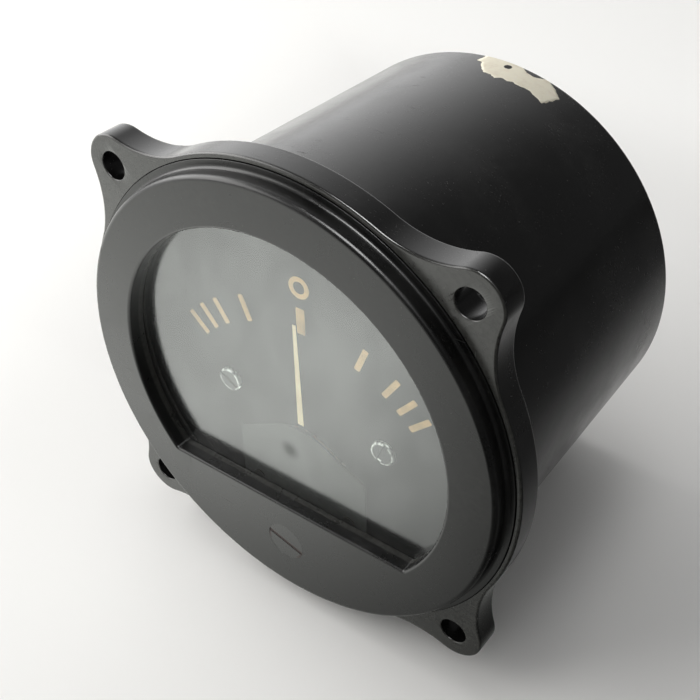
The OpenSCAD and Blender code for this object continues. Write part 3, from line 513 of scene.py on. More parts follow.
def moulding_finish(name, sizes, roughness, film, ior=1.58, slot_dirt_shade=None, dusty=None):
    """Black moulding: fine orange peel, handling haze, hairline scratches and specks of pale dust.

    film is the share of the haze, the scratches and the specks. A slotted head, given as (depth, centre, radius,
    turn), is darkened by grime and painted shade. dusty is (low, high, radius, share): a film of dust between
    two depths, within the radius.
    """
    f = Finish(name, sizes.moulding, roughness, IOR=ior)
    cloud = f.noise(11 * MM, 5, 0.6, 0.4)
    fine = f.noise(0.9 * MM, 6, 0.65)
    haze = f.product(f.band(cloud, 0.42, 0.72), f.band(fine, 0.3, 0.75))
    hair = f.noise(0.35 * MM, 1, 0.4, vector=f.mapped((1, 1, 0.035), (0.3, 0.9, 0.2)))
    crossing = f.noise(0.35 * MM, 1, 0.4, vector=f.mapped((0.04, 1, 1), (0.1, -0.5, 0.7)))
    patch = f.band(f.noise(7 * MM, 2, 0.5), 0.48, 0.62)
    scratches = f.product(f.math("MAXIMUM", f.band(hair, 0.70, 0.76), f.band(crossing, 0.71, 0.77)), patch)
    specks = f.product(f.band(f.cells(0.75 * MM), 0.13, 0.05), f.band(f.noise(2.4 * MM, 2, 0.5), 0.56, 0.68))
    bloom = f.product(f.total(f.product(haze, 0.3), f.product(scratches, 0.35)), film)
    if dusty is not None:
        low, high, inner, share = dusty
        y = f.depth_of("Y")
        bloom = f.total(bloom, f.product(
            f.band(y, low - 0.3 * MM, low), f.band(y, high + 0.3 * MM, high),
            f.band(f.radius(), inner + 1 * MM, inner), f.band(fine, 0.25, 0.6, 0.4, 1.0), share))
    base = f.mix(bloom, sizes.moulding, sizes.bloom)
    rough = f.total(f.band(cloud, 0.35, 0.75, roughness - 0.03, roughness + 0.06), f.product(fine, 0.04),
                    f.product(f.math("MAXIMUM", scratches, specks), 0.25))
    if slot_dirt_shade is not None:
        # Grime and painted shade: the slot's floor and an arc of the rim below its ends turn dark brown and
        # rougher
        dirt_and_shade = slot_dirt_and_shade(f, *slot_dirt_shade)
        base = f.mix(dirt_and_shade, base, SLOT_DIRT_AND_SHADE)
        rough = f.total(rough, f.product(dirt_and_shade, 0.5))
    f.link(f.mix(f.product(specks, 0.55 * film), base, SPECK), "Base Color")
    f.link(rough, "Roughness")
    peel = f.bump(f.noise(1.6 * MM, 3, 0.5), 0.035, 0.2 * MM)
    f.link(f.bump(f.total(f.product(scratches, -0.6), specks), 0.12, 0.03 * MM, peel), "Normal")
    return f.material


def paint_finish(name, value, roughness, grain=0.12, wear=0.15, worn=(0.3, 0.3, 0.28), sheen=0.5):
    """Aged paint: mottled in tone, slightly grainy, with a share of worn specks."""
    f = Finish(name, value, roughness, Specular_IOR_Level=sheen)
    tone = f.noise(2.2 * MM, 5, 0.6)
    dull = tuple(c * (1 - 1.6 * grain) for c in value)
    bright = tuple(min(1.0, c * (1 + 1.2 * grain)) for c in value)
    base = f.mix(f.band(tone, 0.3, 0.7), dull, bright)
    speck = f.band(f.noise(0.35 * MM, 3, 0.6), 0.66, 0.74)
    f.link(f.mix(f.product(speck, wear), base, worn), "Base Color")
    f.link(f.band(tone, 0.3, 0.7, roughness - 0.05, roughness + 0.08), "Roughness")
    f.link(f.bump(f.noise(0.15 * MM, 3, 0.6), 0.12, 0.01 * MM), "Normal")
    return f.material


def metal_finish(name, value, roughness, tarnish, turned_at=None):
    """Metal with tool marks and tarnish: rings about a turning axis, or a fine brushed grain."""
    f = Finish(name, value, roughness, 1.0)
    stain = f.band(f.noise(1.8 * MM, 5, 0.62, 0.5), 0.42, 0.72)
    f.link(f.mix(stain, value, tarnish), "Base Color")
    if turned_at is None:
        marks = f.noise(0.12 * MM, 2, 0.5, vector=f.mapped((1, 0.06, 1)))
    else:
        centred = f.mapped(move=tuple(-c for c in turned_at))
        ring = 0.25 * MM
        marks = f.math("SINE", f.product(f.radius(centred), 2 * math.pi / ring))
    f.link(f.total(f.band(stain, 0, 1, roughness, roughness + 0.2), f.product(marks, 0.05)), "Roughness")
    f.link(f.bump(marks, 0.15, 0.01 * MM), "Normal")
    return f.material


def worn_screw_finish(name, value, worn, place, radius):
    """A pair of blackened screws, one on each side, whose rims are worn to bright metal."""
    f = Finish(name, value, 0.4, 0.6)
    centred = f.vector("ADD", f.vector("ABSOLUTE", f.place), (-abs(place[0]), 0, -abs(place[1])))
    rim = f.band(f.radius(centred), radius - 0.5 * MM, radius - 0.2 * MM)
    patch = f.band(f.noise(0.8 * MM, 3, 0.6), 0.35, 0.55)
    share = f.product(rim, patch)
    f.link(f.mix(share, value, worn), "Base Color")
    f.link(f.band(share, 0, 1, 0.45, 0.3), "Roughness")
    f.link(f.bump(f.noise(0.2 * MM, 3, 0.6), 0.2, 0.01 * MM), "Normal")
    return f.material


def glass_finish(name):
    """Clear glass: gloss that grows with the slant, streaks + 0.86 slant^5, under a thin uneven film of dust.
    The streaks are painted stronger towards the upper right, as a painted reflection.

    The front face carries the gloss and the film of both faces, because the pane here doesn't bend light. The
    gloss is a little blurred, as on old glass that has been wiped.
    """
    f = Finish(name, (0.6, 0.6, 0.58), 0.9)
    clear = f.node("ShaderNodeBsdfTransparent", {"Color": (0.95, 0.97, 0.96, 1.0)})
    gloss = f.node("ShaderNodeBsdfGlossy", {"Color": (0.985, 1.0, 1.0, 1.0), "Roughness": 0.16})
    dust = f.node("ShaderNodeBsdfDiffuse", {"Color": (0.62, 0.62, 0.59, 1.0)})
    slant = f.node("ShaderNodeLayerWeight", {"Blend": 0.5}).outputs["Facing"]
    front = f.band(f.depth_of("Y"), 0.4 * MM, 1.2 * MM, 1.0, 0.0)
    streaks_and_painted_gloss = f.band(f.noise(8 * MM, 4, 0.5, 0.6, f.mapped((1, 1, 0.7), (0, 0.5, 0))), 0.3, 0.7, 0.138, 0.16)
    # Painted reflection: the gloss is scaled from 0.88 at the lower left to 1.17 at the upper right
    slope = f.vector("DOT_PRODUCT", f.place, (0.5, 0, 0.6), "Value")
    streaks_and_painted_gloss = f.product(streaks_and_painted_gloss, f.band(slope, -14 * MM, 18 * MM, 0.88, 1.17))
    # The gloss falls to 0.55 within a small round spot
    weak_gloss = f.band(f.radius_from(WEAK_GLOSS_SPOT), 0.3 * MM, 2.4 * MM, 0.55, 1.0)
    mirror = f.product(f.total(f.product(f.math("POWER", slant, 5.0), 0.86), streaks_and_painted_gloss), front, weak_gloss)
    pane = f.node("ShaderNodeMixShader", {0: mirror, 1: clear.outputs[0], 2: gloss.outputs[0]})
    cloud = f.band(f.noise(9 * MM, 4, 0.5, 0.6), 0.35, 0.7)
    film = f.product(f.total(f.product(cloud, 0.012), 0.004), front)
    f.show(f.node("ShaderNodeMixShader", {0: film, 1: pane.outputs[0], 2: dust.outputs[0]}))
    return f.material


def paper_finish(name, value, gap):
    """Old paper: fibres, faint brown stains and one spot that is torn through to the black moulding."""
    f = Finish(name, value, 0.85)
    stain = f.band(f.noise(2.6 * MM, 5, 0.65), 0.45, 0.75, 0.0, 0.4)
    fibre = f.noise(0.25 * MM, 3, 0.6, vector=f.mapped((1, 0.3, 1)))
    base = f.mix(stain, value, (0.6, 0.48, 0.35))
    base = f.mix(f.band(fibre, 0.5, 0.8, 0.0, 0.5), base, (0.86, 0.82, 0.74))
    ragged = f.total(f.radius_from(gap), f.product(f.noise(0.7 * MM, 3, 0.6), 0.5 * MM))
    f.link(f.mix(f.band(ragged, 1.0 * MM, 0.85 * MM), base, BARE), "Base Color")
    f.link(f.bump(f.total(fibre, stain), 0.5, 0.04 * MM), "Normal")
    return f.material


def wire_finish(name, value, pitch):
    """Enamelled wire wound side by side: each turn is a rounded ridge across the depth, with painted shade between
    turns.
    """
    f = Finish(name, value, 0.3, 0.7)
    turns = f.math("SINE", f.product(f.depth_of("Y"), 2 * math.pi / pitch))
    # Painted shade: the colour falls to a quarter in the grooves between turns
    f.link(f.mix(f.band(turns, -1, 1), tuple(c * 0.25 for c in value), value), "Base Color")
    f.link(f.bump(turns, 0.8, pitch / 4), "Normal")
    return f.material


def dress(material, *nodes):
    """Gives nodes of the frame their finish."""
    for node in nodes:
        slots = frame["nodes"][node].data.materials
        slots.clear()
        slots.append(material)


def ear_outline(s):
    """The flange's edge: round between the ears, hollow on their flanks and round at their tips.

    Each flank circle touches the flange and the ear's tip from outside. Returns places and outward normals.
    """
    to_flank, to_tip = s.flange + s.ear_flank, s.ear_tip + s.ear_flank
    lean = math.acos((s.ear_circle**2 + to_flank**2 - to_tip**2) / (2 * s.ear_circle * to_flank))
    places, normals = [], []

    def add(centre, radius, start, sweep, steps, sign):
        a = start + sweep * np.arange(steps) / steps
        ray = np.stack([np.cos(a), np.sin(a)], 1)
        places.append(centre + radius * ray)
        normals.append(sign * ray)

    for ear in EARS:
        tip = s.ear_circle * np.array([math.cos(ear), math.sin(ear)])
        arrive, leave = ear - lean, ear + lean
        first = to_flank * np.array([math.cos(arrive), math.sin(arrive)])
        second = to_flank * np.array([math.cos(leave), math.sin(leave)])
        turn = math.atan2(*(tip - first)[::-1]) - (arrive + math.pi)
        turn = (turn + math.pi) % (2 * math.pi) - math.pi
        gap = math.pi / 2 - 2 * lean
        add(np.zeros(2), s.flange, arrive - gap, gap, 40, 1)
        add(first, s.ear_flank, arrive + math.pi, turn, 18, -1)
        tip_start = math.atan2(*(first - tip)[::-1])
        tip_sweep = (math.atan2(*(second - tip)[::-1]) - tip_start) % (2 * math.pi)
        add(tip, s.ear_tip, tip_start, tip_sweep, 30, 1)
        add(second, s.ear_flank, leave + math.pi - turn, turn, 18, -1)
    return np.concatenate(places), np.concatenate(normals)


def hole_cutter(centre, radius, flare, low, high):
    """A spool that drills a hole and rounds both of its rims. The lift keeps the arcs off the faces."""
    lift = 0.04 * flare
    profile = np.concatenate([
        [[0, low - 1 * MM], [radius + flare, low - 1 * MM]],
        arc((radius + flare, low + flare - lift), flare, 270, 180, 6),
        arc((radius + flare, high - flare + lift), flare, 180, 90, 6),
        [[radius + flare, high + 1 * MM], [0, high + 1 * MM]]])
    return turned("ear_hole", profile, 56, centre)


def case_mesh(s):
    """The cup: rows of circles inside, the ear outline round the flange, then circles down the outside."""
    outline, normal = ear_outline(s)
    angles = np.arctan2(outline[:, 1], outline[:, 0])
    gasket_bore, gasket_seat, recess_floor, ledge_back = 33.97 * MM, 1.9 * MM, 1.0 * MM, 3.7 * MM
    inside = rounded(
        [[0, s.depth - s.back_wall], [s.back - s.wall, s.depth - s.back_wall], [s.front - s.wall, ledge_back],
         [s.ledge, ledge_back], [s.ledge, gasket_seat], [gasket_bore, gasket_seat],
         [gasket_bore, recess_floor], [s.recess, recess_floor], [s.recess, 0]],
        [1.0 * MM, 0.3 * MM, 0.2 * MM, 0.15 * MM, 0.1 * MM, 0.15 * MM, 0.1 * MM], 3)
    inside = np.concatenate([inside, [[s.recess + 0.03 * MM, 0]]])
    inset = 1.5 * s.edge
    rim = rounded([[inset, 0], [0, 0], [0, s.thickness], [inset, s.thickness]], [s.edge, s.edge], 7)
    outside = rounded(
        [[s.front + 3 * MM, s.thickness], [s.front, s.thickness], [s.back, s.depth], [0, s.depth]],
        [0.6 * MM, s.back_edge], 9)
    rows = np.concatenate([
        circle_rows(inside, angles), outline_rows(rim, outline, normal), circle_rows(outside[1:], angles)])
    pocket_circle, pocket_radius, pocket_front, pocket_back = 38 * MM, 1.5 * MM, 3.5 * MM, 10.6 * MM
    pocket = [[0, pocket_front], [pocket_radius, pocket_front],
              [pocket_radius, pocket_back], [0, pocket_back]]
    cutters = []
    for ear in EARS:
        ray = np.array([math.cos(ear), 0, math.sin(ear)])
        cutters.append(hole_cutter(s.ear_circle * ray, s.ear_hole, s.ear_hole_edge, 0, s.thickness))
        cutters.append(turned("screw_pocket", pocket, 40, pocket_circle * ray))
    return carve(grid_mesh("case_shell", rows), cutters)


def window_outline(radius, flat, corner):
    """The window's D shape: a circle cut by a chord, with small round corners.

    Returns places and outward normals.
    """
    arc_steps, flat_steps, corner_steps = 220, 64, 8
    lean = math.asin((flat - corner) / (radius - corner))
    side = (radius - corner) * math.cos(lean)
    main = np.linspace(-lean, math.pi + lean, arc_steps, endpoint=False)
    left = np.linspace(math.pi + lean, 1.5 * math.pi, corner_steps, endpoint=False)
    right = np.linspace(-0.5 * math.pi, -lean, corner_steps, endpoint=False)
    along = np.linspace(-side, side, flat_steps, endpoint=False)

    def ray(a):
        return np.stack([np.cos(a), np.sin(a)], 1)

    down = np.tile([0.0, -1.0], (flat_steps, 1))
    places = np.concatenate([
        radius * ray(main), [-side, corner - flat] + corner * ray(left),
        np.stack([along, np.full(flat_steps, -flat)], 1), [side, corner - flat] + corner * ray(right)])
    return places, np.concatenate([ray(main), ray(left), down, ray(right)])


def bezel_mesh(s, a):
    """A closed ring: the D shaped rebate and window wall, the flat face, then circles to the lip."""
    outline, normal = window_outline(s.window, s.flat, s.corner)
    angles = np.arctan2(outline[:, 1], outline[:, 0])
    wall = rounded(
        [[-s.cover - 0.3 * MM, s.lip_depth], [-s.cover, s.lip_depth], [-s.cover, s.seat], [0, s.seat],
         [0, -s.rise], [-2 * s.window_edge, -s.rise]],
        [0, 0.05 * MM, 0.1 * MM, s.window_edge], 8)
    shoulder = rounded(
        [[s.rim - 2 * s.edge, -s.rise], [s.rim, -s.rise], [s.rim, -s.lip_face], [s.lip, -s.lip_face],
         [s.lip, s.lip_depth], [s.lip - 1 * MM, s.lip_depth]],
        [s.edge, s.cove, 0.06 * MM, 0.05 * MM], 8)
    rows = np.concatenate([outline_rows(wall, outline, normal), circle_rows(shoulder, angles)])
    ring = grid_mesh("bezel_ring", rows, close_rows=True)
    flare, lift, past, clear = 0.02 * MM, 0.002 * MM, 2 * MM, 0.05 * MM
    low, step = -s.rise, a.thick + a.sink - s.rise
    profile = np.concatenate([
        [[0, low - 1 * MM], [a.bore + flare, low - 1 * MM]],
        arc((a.bore + flare, low + flare - lift), flare, 270, 180, 5),
        [[a.bore, step], [a.shaft + clear, step], [a.shaft + clear, past], [0, past]]])
    return carve(ring, [turned("adjuster_bore", profile, 70, adjuster_axis())])


def adjuster_axis():
    """The place where the zero adjuster's axis crosses the ears' front."""
    x, _, z = JOINTS["zero_adjuster_turn"]["pos_m"]
    return x, 0, z


def adjuster_mesh(s, rise):
    """The adjuster: a slotted head, its shaft, and the eccentric pin behind."""
    x, _, z = adjuster_axis()
    face = s.sink - rise
    back_of_head = face + s.thick
    shaft_back, pin_front, pin_radius, pin_offset = 2.2 * MM, 2.1 * MM, 0.45 * MM, 1 * MM
    pin_back = node_high("zero_adjuster").y
    profile = rounded(
        [[0, face], [s.head, face], [s.head, back_of_head], [s.shaft, back_of_head], [s.shaft, shaft_back],
         [0, shaft_back]],
        [s.head_edge, 0.1 * MM, 0.1 * MM, 0.1 * MM], 5)
    head = turned("adjuster_head", profile, 84, (x, 0, z))
    slot = box_mesh("slot", (3 * s.head, 2 * s.slot_depth, s.slot), (x, face, z), s.slot_turn)
    pin = [[0, pin_front], [pin_radius, pin_front], [pin_radius, pin_back], [0, pin_back]]
    return joined("adjuster", [carve(head, [slot]), turned("pin", pin, 32, (x, 0, z - pin_offset))])


def screw_mesh(name, place, radius, low, high, edge, slot, turn):
    """A screw head with a rounded rim and a driver slot of (width, depth).

    A head that faces the back has high below low.
    """
    profile = rounded([[0, low], [radius, low], [radius, high], [0, high]], [edge, 0.03 * MM], 5)
    head = turned(name, profile, 64, place)
    cut = box_mesh("slot", (3 * radius, 2 * slot[1], slot[0]), (place[0], low, place[2]), turn)
    return carve(head, [cut])


def label_mesh(s, case):
    """Paper on the case's cone: rays from the middle to a torn edge, whose reach is a shape plus fine tears.

    The outline's places are to the right of the middle and in front of the case's back, in millimetres.
    """
    rng = np.random.default_rng(7)
    count, every, back_gap = 360, 4, 0.25 * MM
    outline = MM * np.array([
        [-0.9, 0.3], [-1.35, 2.85], [-0.3, 3.1], [0.55, 4.7], [2.06, 6.54], [3.39, 6.56], [4.5, 7.1],
        [5.2, 6.3], [6.47, 6.39], [7.17, 6.0], [8.25, 6.26], [9.17, 5.93], [10.39, 5.79], [11.2, 6.3],
        [12.29, 6.51], [13.1, 6.96], [13.53, 6.42], [13.73, 5.13], [14.33, 3.06], [13.38, 2.2], [12.28, 1.24],
        [11.04, 0.4], [10.4, 0.3], [9.69, 0.95], [9.03, 1.45], [8.11, 1.52], [7.2, 1.23], [6.1, 0.6],
        [5.7, 0.3], [2.5, 0.3]])
    closed = np.concatenate([outline, outline[:1]])
    run = np.concatenate([[0], np.cumsum(np.linalg.norm(np.diff(closed, axis=0), axis=1))])
    t = np.linspace(0, run[-1], count, endpoint=False)
    edge = np.stack([np.interp(t, run, closed[:, i]) for i in (0, 1)], 1)
    knots = np.arange(0, count + 1, every)
    tear = np.interp(np.arange(count), knots, rng.normal(0, 0.08 * MM, len(knots)))
    tear += rng.normal(0, 0.03 * MM, count)
    middle = np.array([7.5, 3.4]) * MM
    ray = edge - middle
    reach = np.linalg.norm(ray, axis=1)
    edge = middle + ray * ((reach + tear) / reach)[:, None]
    edge[:, 1] = np.clip(edge[:, 1], back_gap, None)
    share = np.linspace(0, 1, 14)[:, None, None]
    flat = middle + (edge - middle)[None] * share
    x, back = flat[..., 0], flat[..., 1]
    y = case.depth - back
    cone = case.front + (case.back - case.front) * (y - case.thickness) / (case.depth - case.thickness)
    into = np.clip(case.back_edge - back, 0, case.back_edge)
    radius = cone - case.back_edge + np.sqrt(case.back_edge**2 - into**2) + s.rise
    return grid_mesh("label", np.stack([x, y, np.sqrt(radius**2 - x**2)], 2), outward=False)


def stud_mesh(s, place, low, high):
    """A threaded rod: radius = r - depth (1 - |2 frac(y / pitch - turn) - 1|), tapered off at its end."""
    rows, columns, taper = 220, 40, 0.6 * MM
    y = np.linspace(low, high, rows)[:, None]
    a = np.linspace(0, 2 * math.pi, columns, endpoint=False)[None]
    phase = np.mod(y / s.pitch - a / (2 * math.pi), 1.0)
    radius = s.stud - s.thread * (1 - np.abs(2 * phase - 1))
    radius = np.minimum(radius, s.stud - np.clip(y - high + taper, 0, None))
    ends = np.concatenate([np.zeros((1, columns)), radius, np.zeros((1, columns))])
    return polar_mesh("stud", ends, np.concatenate([y[:1], y, y[-1:]]), a, place)


def nut_mesh(s, place, low, high, bore, turn):
    """A hexagon nut: radius is the smaller of the hexagon's and a chamfer cone's at each depth."""
    columns = 96
    a = np.linspace(0, 2 * math.pi, columns, endpoint=False)
    hexagon = s.nut * math.cos(math.pi / 6) / np.cos(np.mod(a + turn, math.pi / 3) - math.pi / 6)
    face, t = 0.9 * s.nut, np.linspace(0, 1, 7)
    drop = (s.nut - face) * math.tan(math.radians(30)) * t
    cone = face + (s.nut - face) * np.concatenate([t, t[::-1]])
    hole = np.full((1, columns), bore)
    radius = np.concatenate([hole, np.minimum(hexagon, cone[:, None]), hole])
    depth = np.concatenate([[low], low + drop, high - drop[::-1], [high]])
    return polar_mesh("nut", radius, depth[:, None], a, place, True)


class Step:
    """What the operators share: each can be undone."""

    bl_options = {"REGISTER", "UNDO"}


class INDICATOR_OT_case(Step, Operator):
    """Moulds the case with its flange, ears and holes"""

    bl_idname = "indicator.case"
    bl_label = "Case"

    def execute(self, context):
        s = context.scene.indicator_case
        dust_front, dust_back, everywhere = -1 * MM, 0.03 * MM, 1.0
        finish = moulding_finish("case_black", s, 0.2, 0.35, dusty=(dust_front, dust_back, everywhere, 0.45))
        add_piece("case_moulding", case_mesh(s), finish, HOUSING, "case_body")
        return {"FINISHED"}


class INDICATOR_OT_bezel(Step, Operator):
    """Moulds the stepped bezel with its D shaped window"""

    bl_idname = "indicator.bezel"
    bl_label = "Bezel"

    def execute(self, context):
        scene = context.scene
        s = scene.indicator_bezel
        dust_front, dust_back = -0.8 * MM, 0.2 * MM
        finish = moulding_finish("bezel_black", scene.indicator_case, 0.27, 0.45, 1.5,
                                 dusty=(dust_front, dust_back, s.window, 0.42))
        mesh = bezel_mesh(s, scene.indicator_adjuster)
        add_piece("bezel_moulding", mesh, finish, HOUSING, "bezel", flat_at=-s.rise)
        return {"FINISHED"}


class INDICATOR_OT_adjuster(Step, Operator):
    """Turns the slotted zero adjuster"""

    bl_idname = "indicator.adjuster"
    bl_label = "Zero adjuster"

    def execute(self, context):
        scene = context.scene
        s, rise = scene.indicator_adjuster, scene.indicator_bezel.rise
        clean = 0.04 * MM
        # The head darkens behind this depth, with grime and painted shade in its slot and at its rim
        slot_dirt_shade = (s.sink + clean - rise, JOINTS["zero_adjuster_turn"]["pos_m"], s.head, s.slot_turn)
        finish = moulding_finish("adjuster_black", scene.indicator_case, 0.28, 0.8, slot_dirt_shade=slot_dirt_shade)
        add_piece("adjuster_screw", adjuster_mesh(s, rise), finish, ADJUSTER, "zero_adjuster")
        return {"FINISHED"}


class INDICATOR_OT_glass(Step, Operator):
    """Clears and dusts the window glass, and blackens its gasket"""

    bl_idname = "indicator.glass"
    bl_label = "Glass"

    def execute(self, context):
        dress(glass_finish("dusty_glass"), "window_glass")
        dress(paint_finish("gasket_black", (0.03, 0.027, 0.024), 0.75), "glass_gasket")
        return {"FINISHED"}


class INDICATOR_OT_dial(Step, Operator):
    """Paints the dial, its marks, the pivot cover and the pointer, and makes the dial screws"""

    bl_idname = "indicator.dial"
    bl_label = "Dial and pointer"

    def execute(self, context):
        c = context.scene.indicator_dial
        dull = 0.03
        dress(paint_finish("dial_black", c.ground, 0.62, 0.1, 0.15, WORN_PAINT, dull), "dial_plate")
        dress(paint_finish("cover_black", c.cover, 0.6, 0.1, 0.15, WORN_PAINT, dull), "pivot_cover")
        dress(paint_finish("marks_cream", c.marks, 0.7, 0.1, 0.35, (0.35, 0.25, 0.14)), "dial_marks")
        dress(paint_finish("pointer_black", (0.02, 0.02, 0.02), 0.5), "pointer")
        dress(paint_finish("pointer_cream", c.pointer, 0.6, 0.06, 0.1, (0.5, 0.45, 0.3)), "pointer_paint")
        low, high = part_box("dial_screws")
        radius, middle = (high.z - low.z) / 2, (high.z + low.z) / 2
        x, seat = high.x - radius, node_low("dial_plate").y
        edge, slot = 0.25 * MM, (0.8 * MM, 0.4 * MM)
        heads = [screw_mesh("dial_screw", (side * x, 0, middle), radius, low.y, seat, edge, slot, turn)
                 for side, turn in ((-1, 0.5), (1, -1.2))]
        finish = worn_screw_finish("screw_worn", c.screws, c.worn, (x, middle), radius)
        add_piece("dial_screw_heads", joined("heads", heads), finish, HOUSING, "dial_screws")
        return {"FINISHED"}


class INDICATOR_OT_label(Step, Operator):
    """Tears the paper label at the back edge of the case"""

    bl_idname = "indicator.label"
    bl_label = "Paper label"

    def execute(self, context):
        s, case = context.scene.indicator_label, context.scene.indicator_case
        gap = (s.gap_place, case.depth - s.gap_back, math.sqrt(case.back**2 - s.gap_place**2))
        paper = paper_finish("old_paper", s.paper, gap)
        piece = add_piece("torn_paper", label_mesh(s, case), paper, HOUSING, "paper_label")
        thick = piece.modifiers.new("thickness", "SOLIDIFY")
        thick.thickness, thick.offset = s.thick, 1.0
        return {"FINISHED"}


class INDICATOR_OT_terminals(Step, Operator):
    """Makes the threaded terminal studs with their nuts and washers, and the screws at the back"""

    bl_idname = "indicator.terminals"
    bl_label = "Terminals"

    def execute(self, context):
        s, depth = context.scene.indicator_terminals, context.scene.indicator_case.depth
        brass = metal_finish("terminal_brass", (0.52, 0.38, 0.17), 0.3, (0.2, 0.13, 0.06))
        studs, nuts, washers = [], [], []
        low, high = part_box("terminal_studs")
        inside_case, between_nuts = 4 * MM, 0.1 * MM
        first = depth + s.washer
        second = first + s.nut_height + between_nuts
        edge = 0.1 * MM
        rim = rounded([[s.stud, depth], [s.nut, depth], [s.nut, first], [s.stud, first]], [edge, edge], 3)
        for i, x in enumerate((low.x + s.stud_head, high.x - s.stud_head)):
            place = (x, 0, (low.z + high.z) / 2)
            studs.append(stud_mesh(s, place, depth - inside_case, high.y))
            nuts.append(nut_mesh(s, place, first, first + s.nut_height, s.stud, 0.2 + i))
            nuts.append(nut_mesh(s, place, second, first + 2 * s.nut_height, s.stud, 0.7 - i))
            washers.append(turned("washer", rim, 72, place, True))
        for name, node, meshes in (
                ("threaded_studs", "terminal_studs", studs), ("hexagon_nuts", "terminal_nuts", nuts),
                ("flat_washers", "terminal_washers", washers)):
            add_piece(name, joined(name, meshes), brass, HOUSING, node)
        low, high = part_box("mount_screws")
        radius, edge, slot = 2.3 * MM, 0.3 * MM, (0.8 * MM, 0.6 * MM)
        places = [(low.x + radius, low.z + radius), (high.x - radius, low.z + radius), (0, high.z - radius)]
        heads = [screw_mesh("mount_screw", (x, 0, z), radius, high.y, depth, edge, slot, turn)
                 for (x, z), turn in zip(places, (0.4, 1.3, 2.3))]
        steel = metal_finish("screw_steel", (0.42, 0.41, 0.39), 0.32, (0.16, 0.12, 0.09))
        add_piece("back_screw_heads", joined("heads", heads), steel, HOUSING, "mount_screws")
        return {"FINISHED"}


class INDICATOR_OT_movement(Step, Operator):
    """Finishes the pieces of the movement inside the case"""

    bl_idname = "indicator.movement"
    bl_label = "Movement"

    def execute(self, context):
        pivot = JOINTS["pointer_swing"]["pos_m"]
        dress(metal_finish("turned_brass", BRASS, 0.28, TARNISH, pivot), "front_jewel_screw",
              "front_lock_nut", "rear_jewel_screw", "rear_lock_nut", "core_supports", "balance_cross")
        dress(metal_finish("brushed_brass", BRASS, 0.32, TARNISH), "dial_pillars", "frame_screws",
              "rear_anchor", "mount_pillars", "resistor_screw")
        dress(metal_finish("tarnished_brass", (0.12, 0.085, 0.04), 0.4, (0.06, 0.045, 0.02)),
              "front_bridge", "bridge_screws", "corrector_arm")
        dress(metal_finish("blackened_brass", (0.03, 0.028, 0.024), 0.5, (0.05, 0.04, 0.02)),
              "cover_posts", "cover_screws")
        dress(metal_finish("ground_steel", (0.48, 0.48, 0.47), 0.3, (0.22, 0.17, 0.13)),
              "pole_pieces", "core", "pointer_stops", "pivot_staffs", "adjuster_clip", "bezel_screws")
        dress(metal_finish("cast_alloy", (0.62, 0.62, 0.63), 0.42, (0.4, 0.4, 0.4)),
              "movement_frame", "coil_former")
        dress(metal_finish("magnet_steel", (0.2, 0.2, 0.21), 0.38, (0.08, 0.06, 0.05)), "magnet")
        dress(metal_finish("spring_bronze", (0.5, 0.36, 0.2), 0.25, (0.3, 0.2, 0.1)),
              "front_hairspring", "rear_hairspring", "adjuster_washer")
        dress(wire_finish("copper_wire", (0.5, 0.17, 0.06), 0.16 * MM), "coil_winding", "resistor_winding")
        dress(paint_finish("brown_fibre", (0.12, 0.045, 0.02), 0.6), "resistor_bobbin")
        dress(paint_finish("red_insulation", (0.28, 0.02, 0.015), 0.45), "lead_wires")
        return {"FINISHED"}


def softbox(name, place, aim, size, power, tint=(1, 1, 1)):
    """An area lamp that the camera doesn't see, turned towards a point."""
    data = bpy.data.lights.new(name, "AREA")
    data.shape = "RECTANGLE"
    data.size, data.size_y = size
    data.energy, data.color = power, tint
    lamp = bpy.data.objects.new(name, data)
    lamp.location = place
    lamp.rotation_euler = (Vector(aim) - Vector(place)).to_track_quat("-Z", "Y").to_euler()
    lamp.visible_camera = False
    bpy.context.scene.collection.objects.link(lamp)
    return lamp


def stage_sheet(name, low, high, height, material):
    """A flat sheet between two corners (x, y), at z = height(y), that is part of the stage."""
    corners = [(x, y, height(y)) for x, y in (low, (high[0], low[1]), high, (low[0], high[1]))]
    mesh = bpy.data.meshes.new(name)
    mesh.from_pydata(corners, [], [(0, 1, 2, 3)])
    mesh.materials.append(material)
    sheet = bpy.data.objects.new(name, mesh)
    bpy.context.scene.collection.objects.link(sheet)
    return sheet


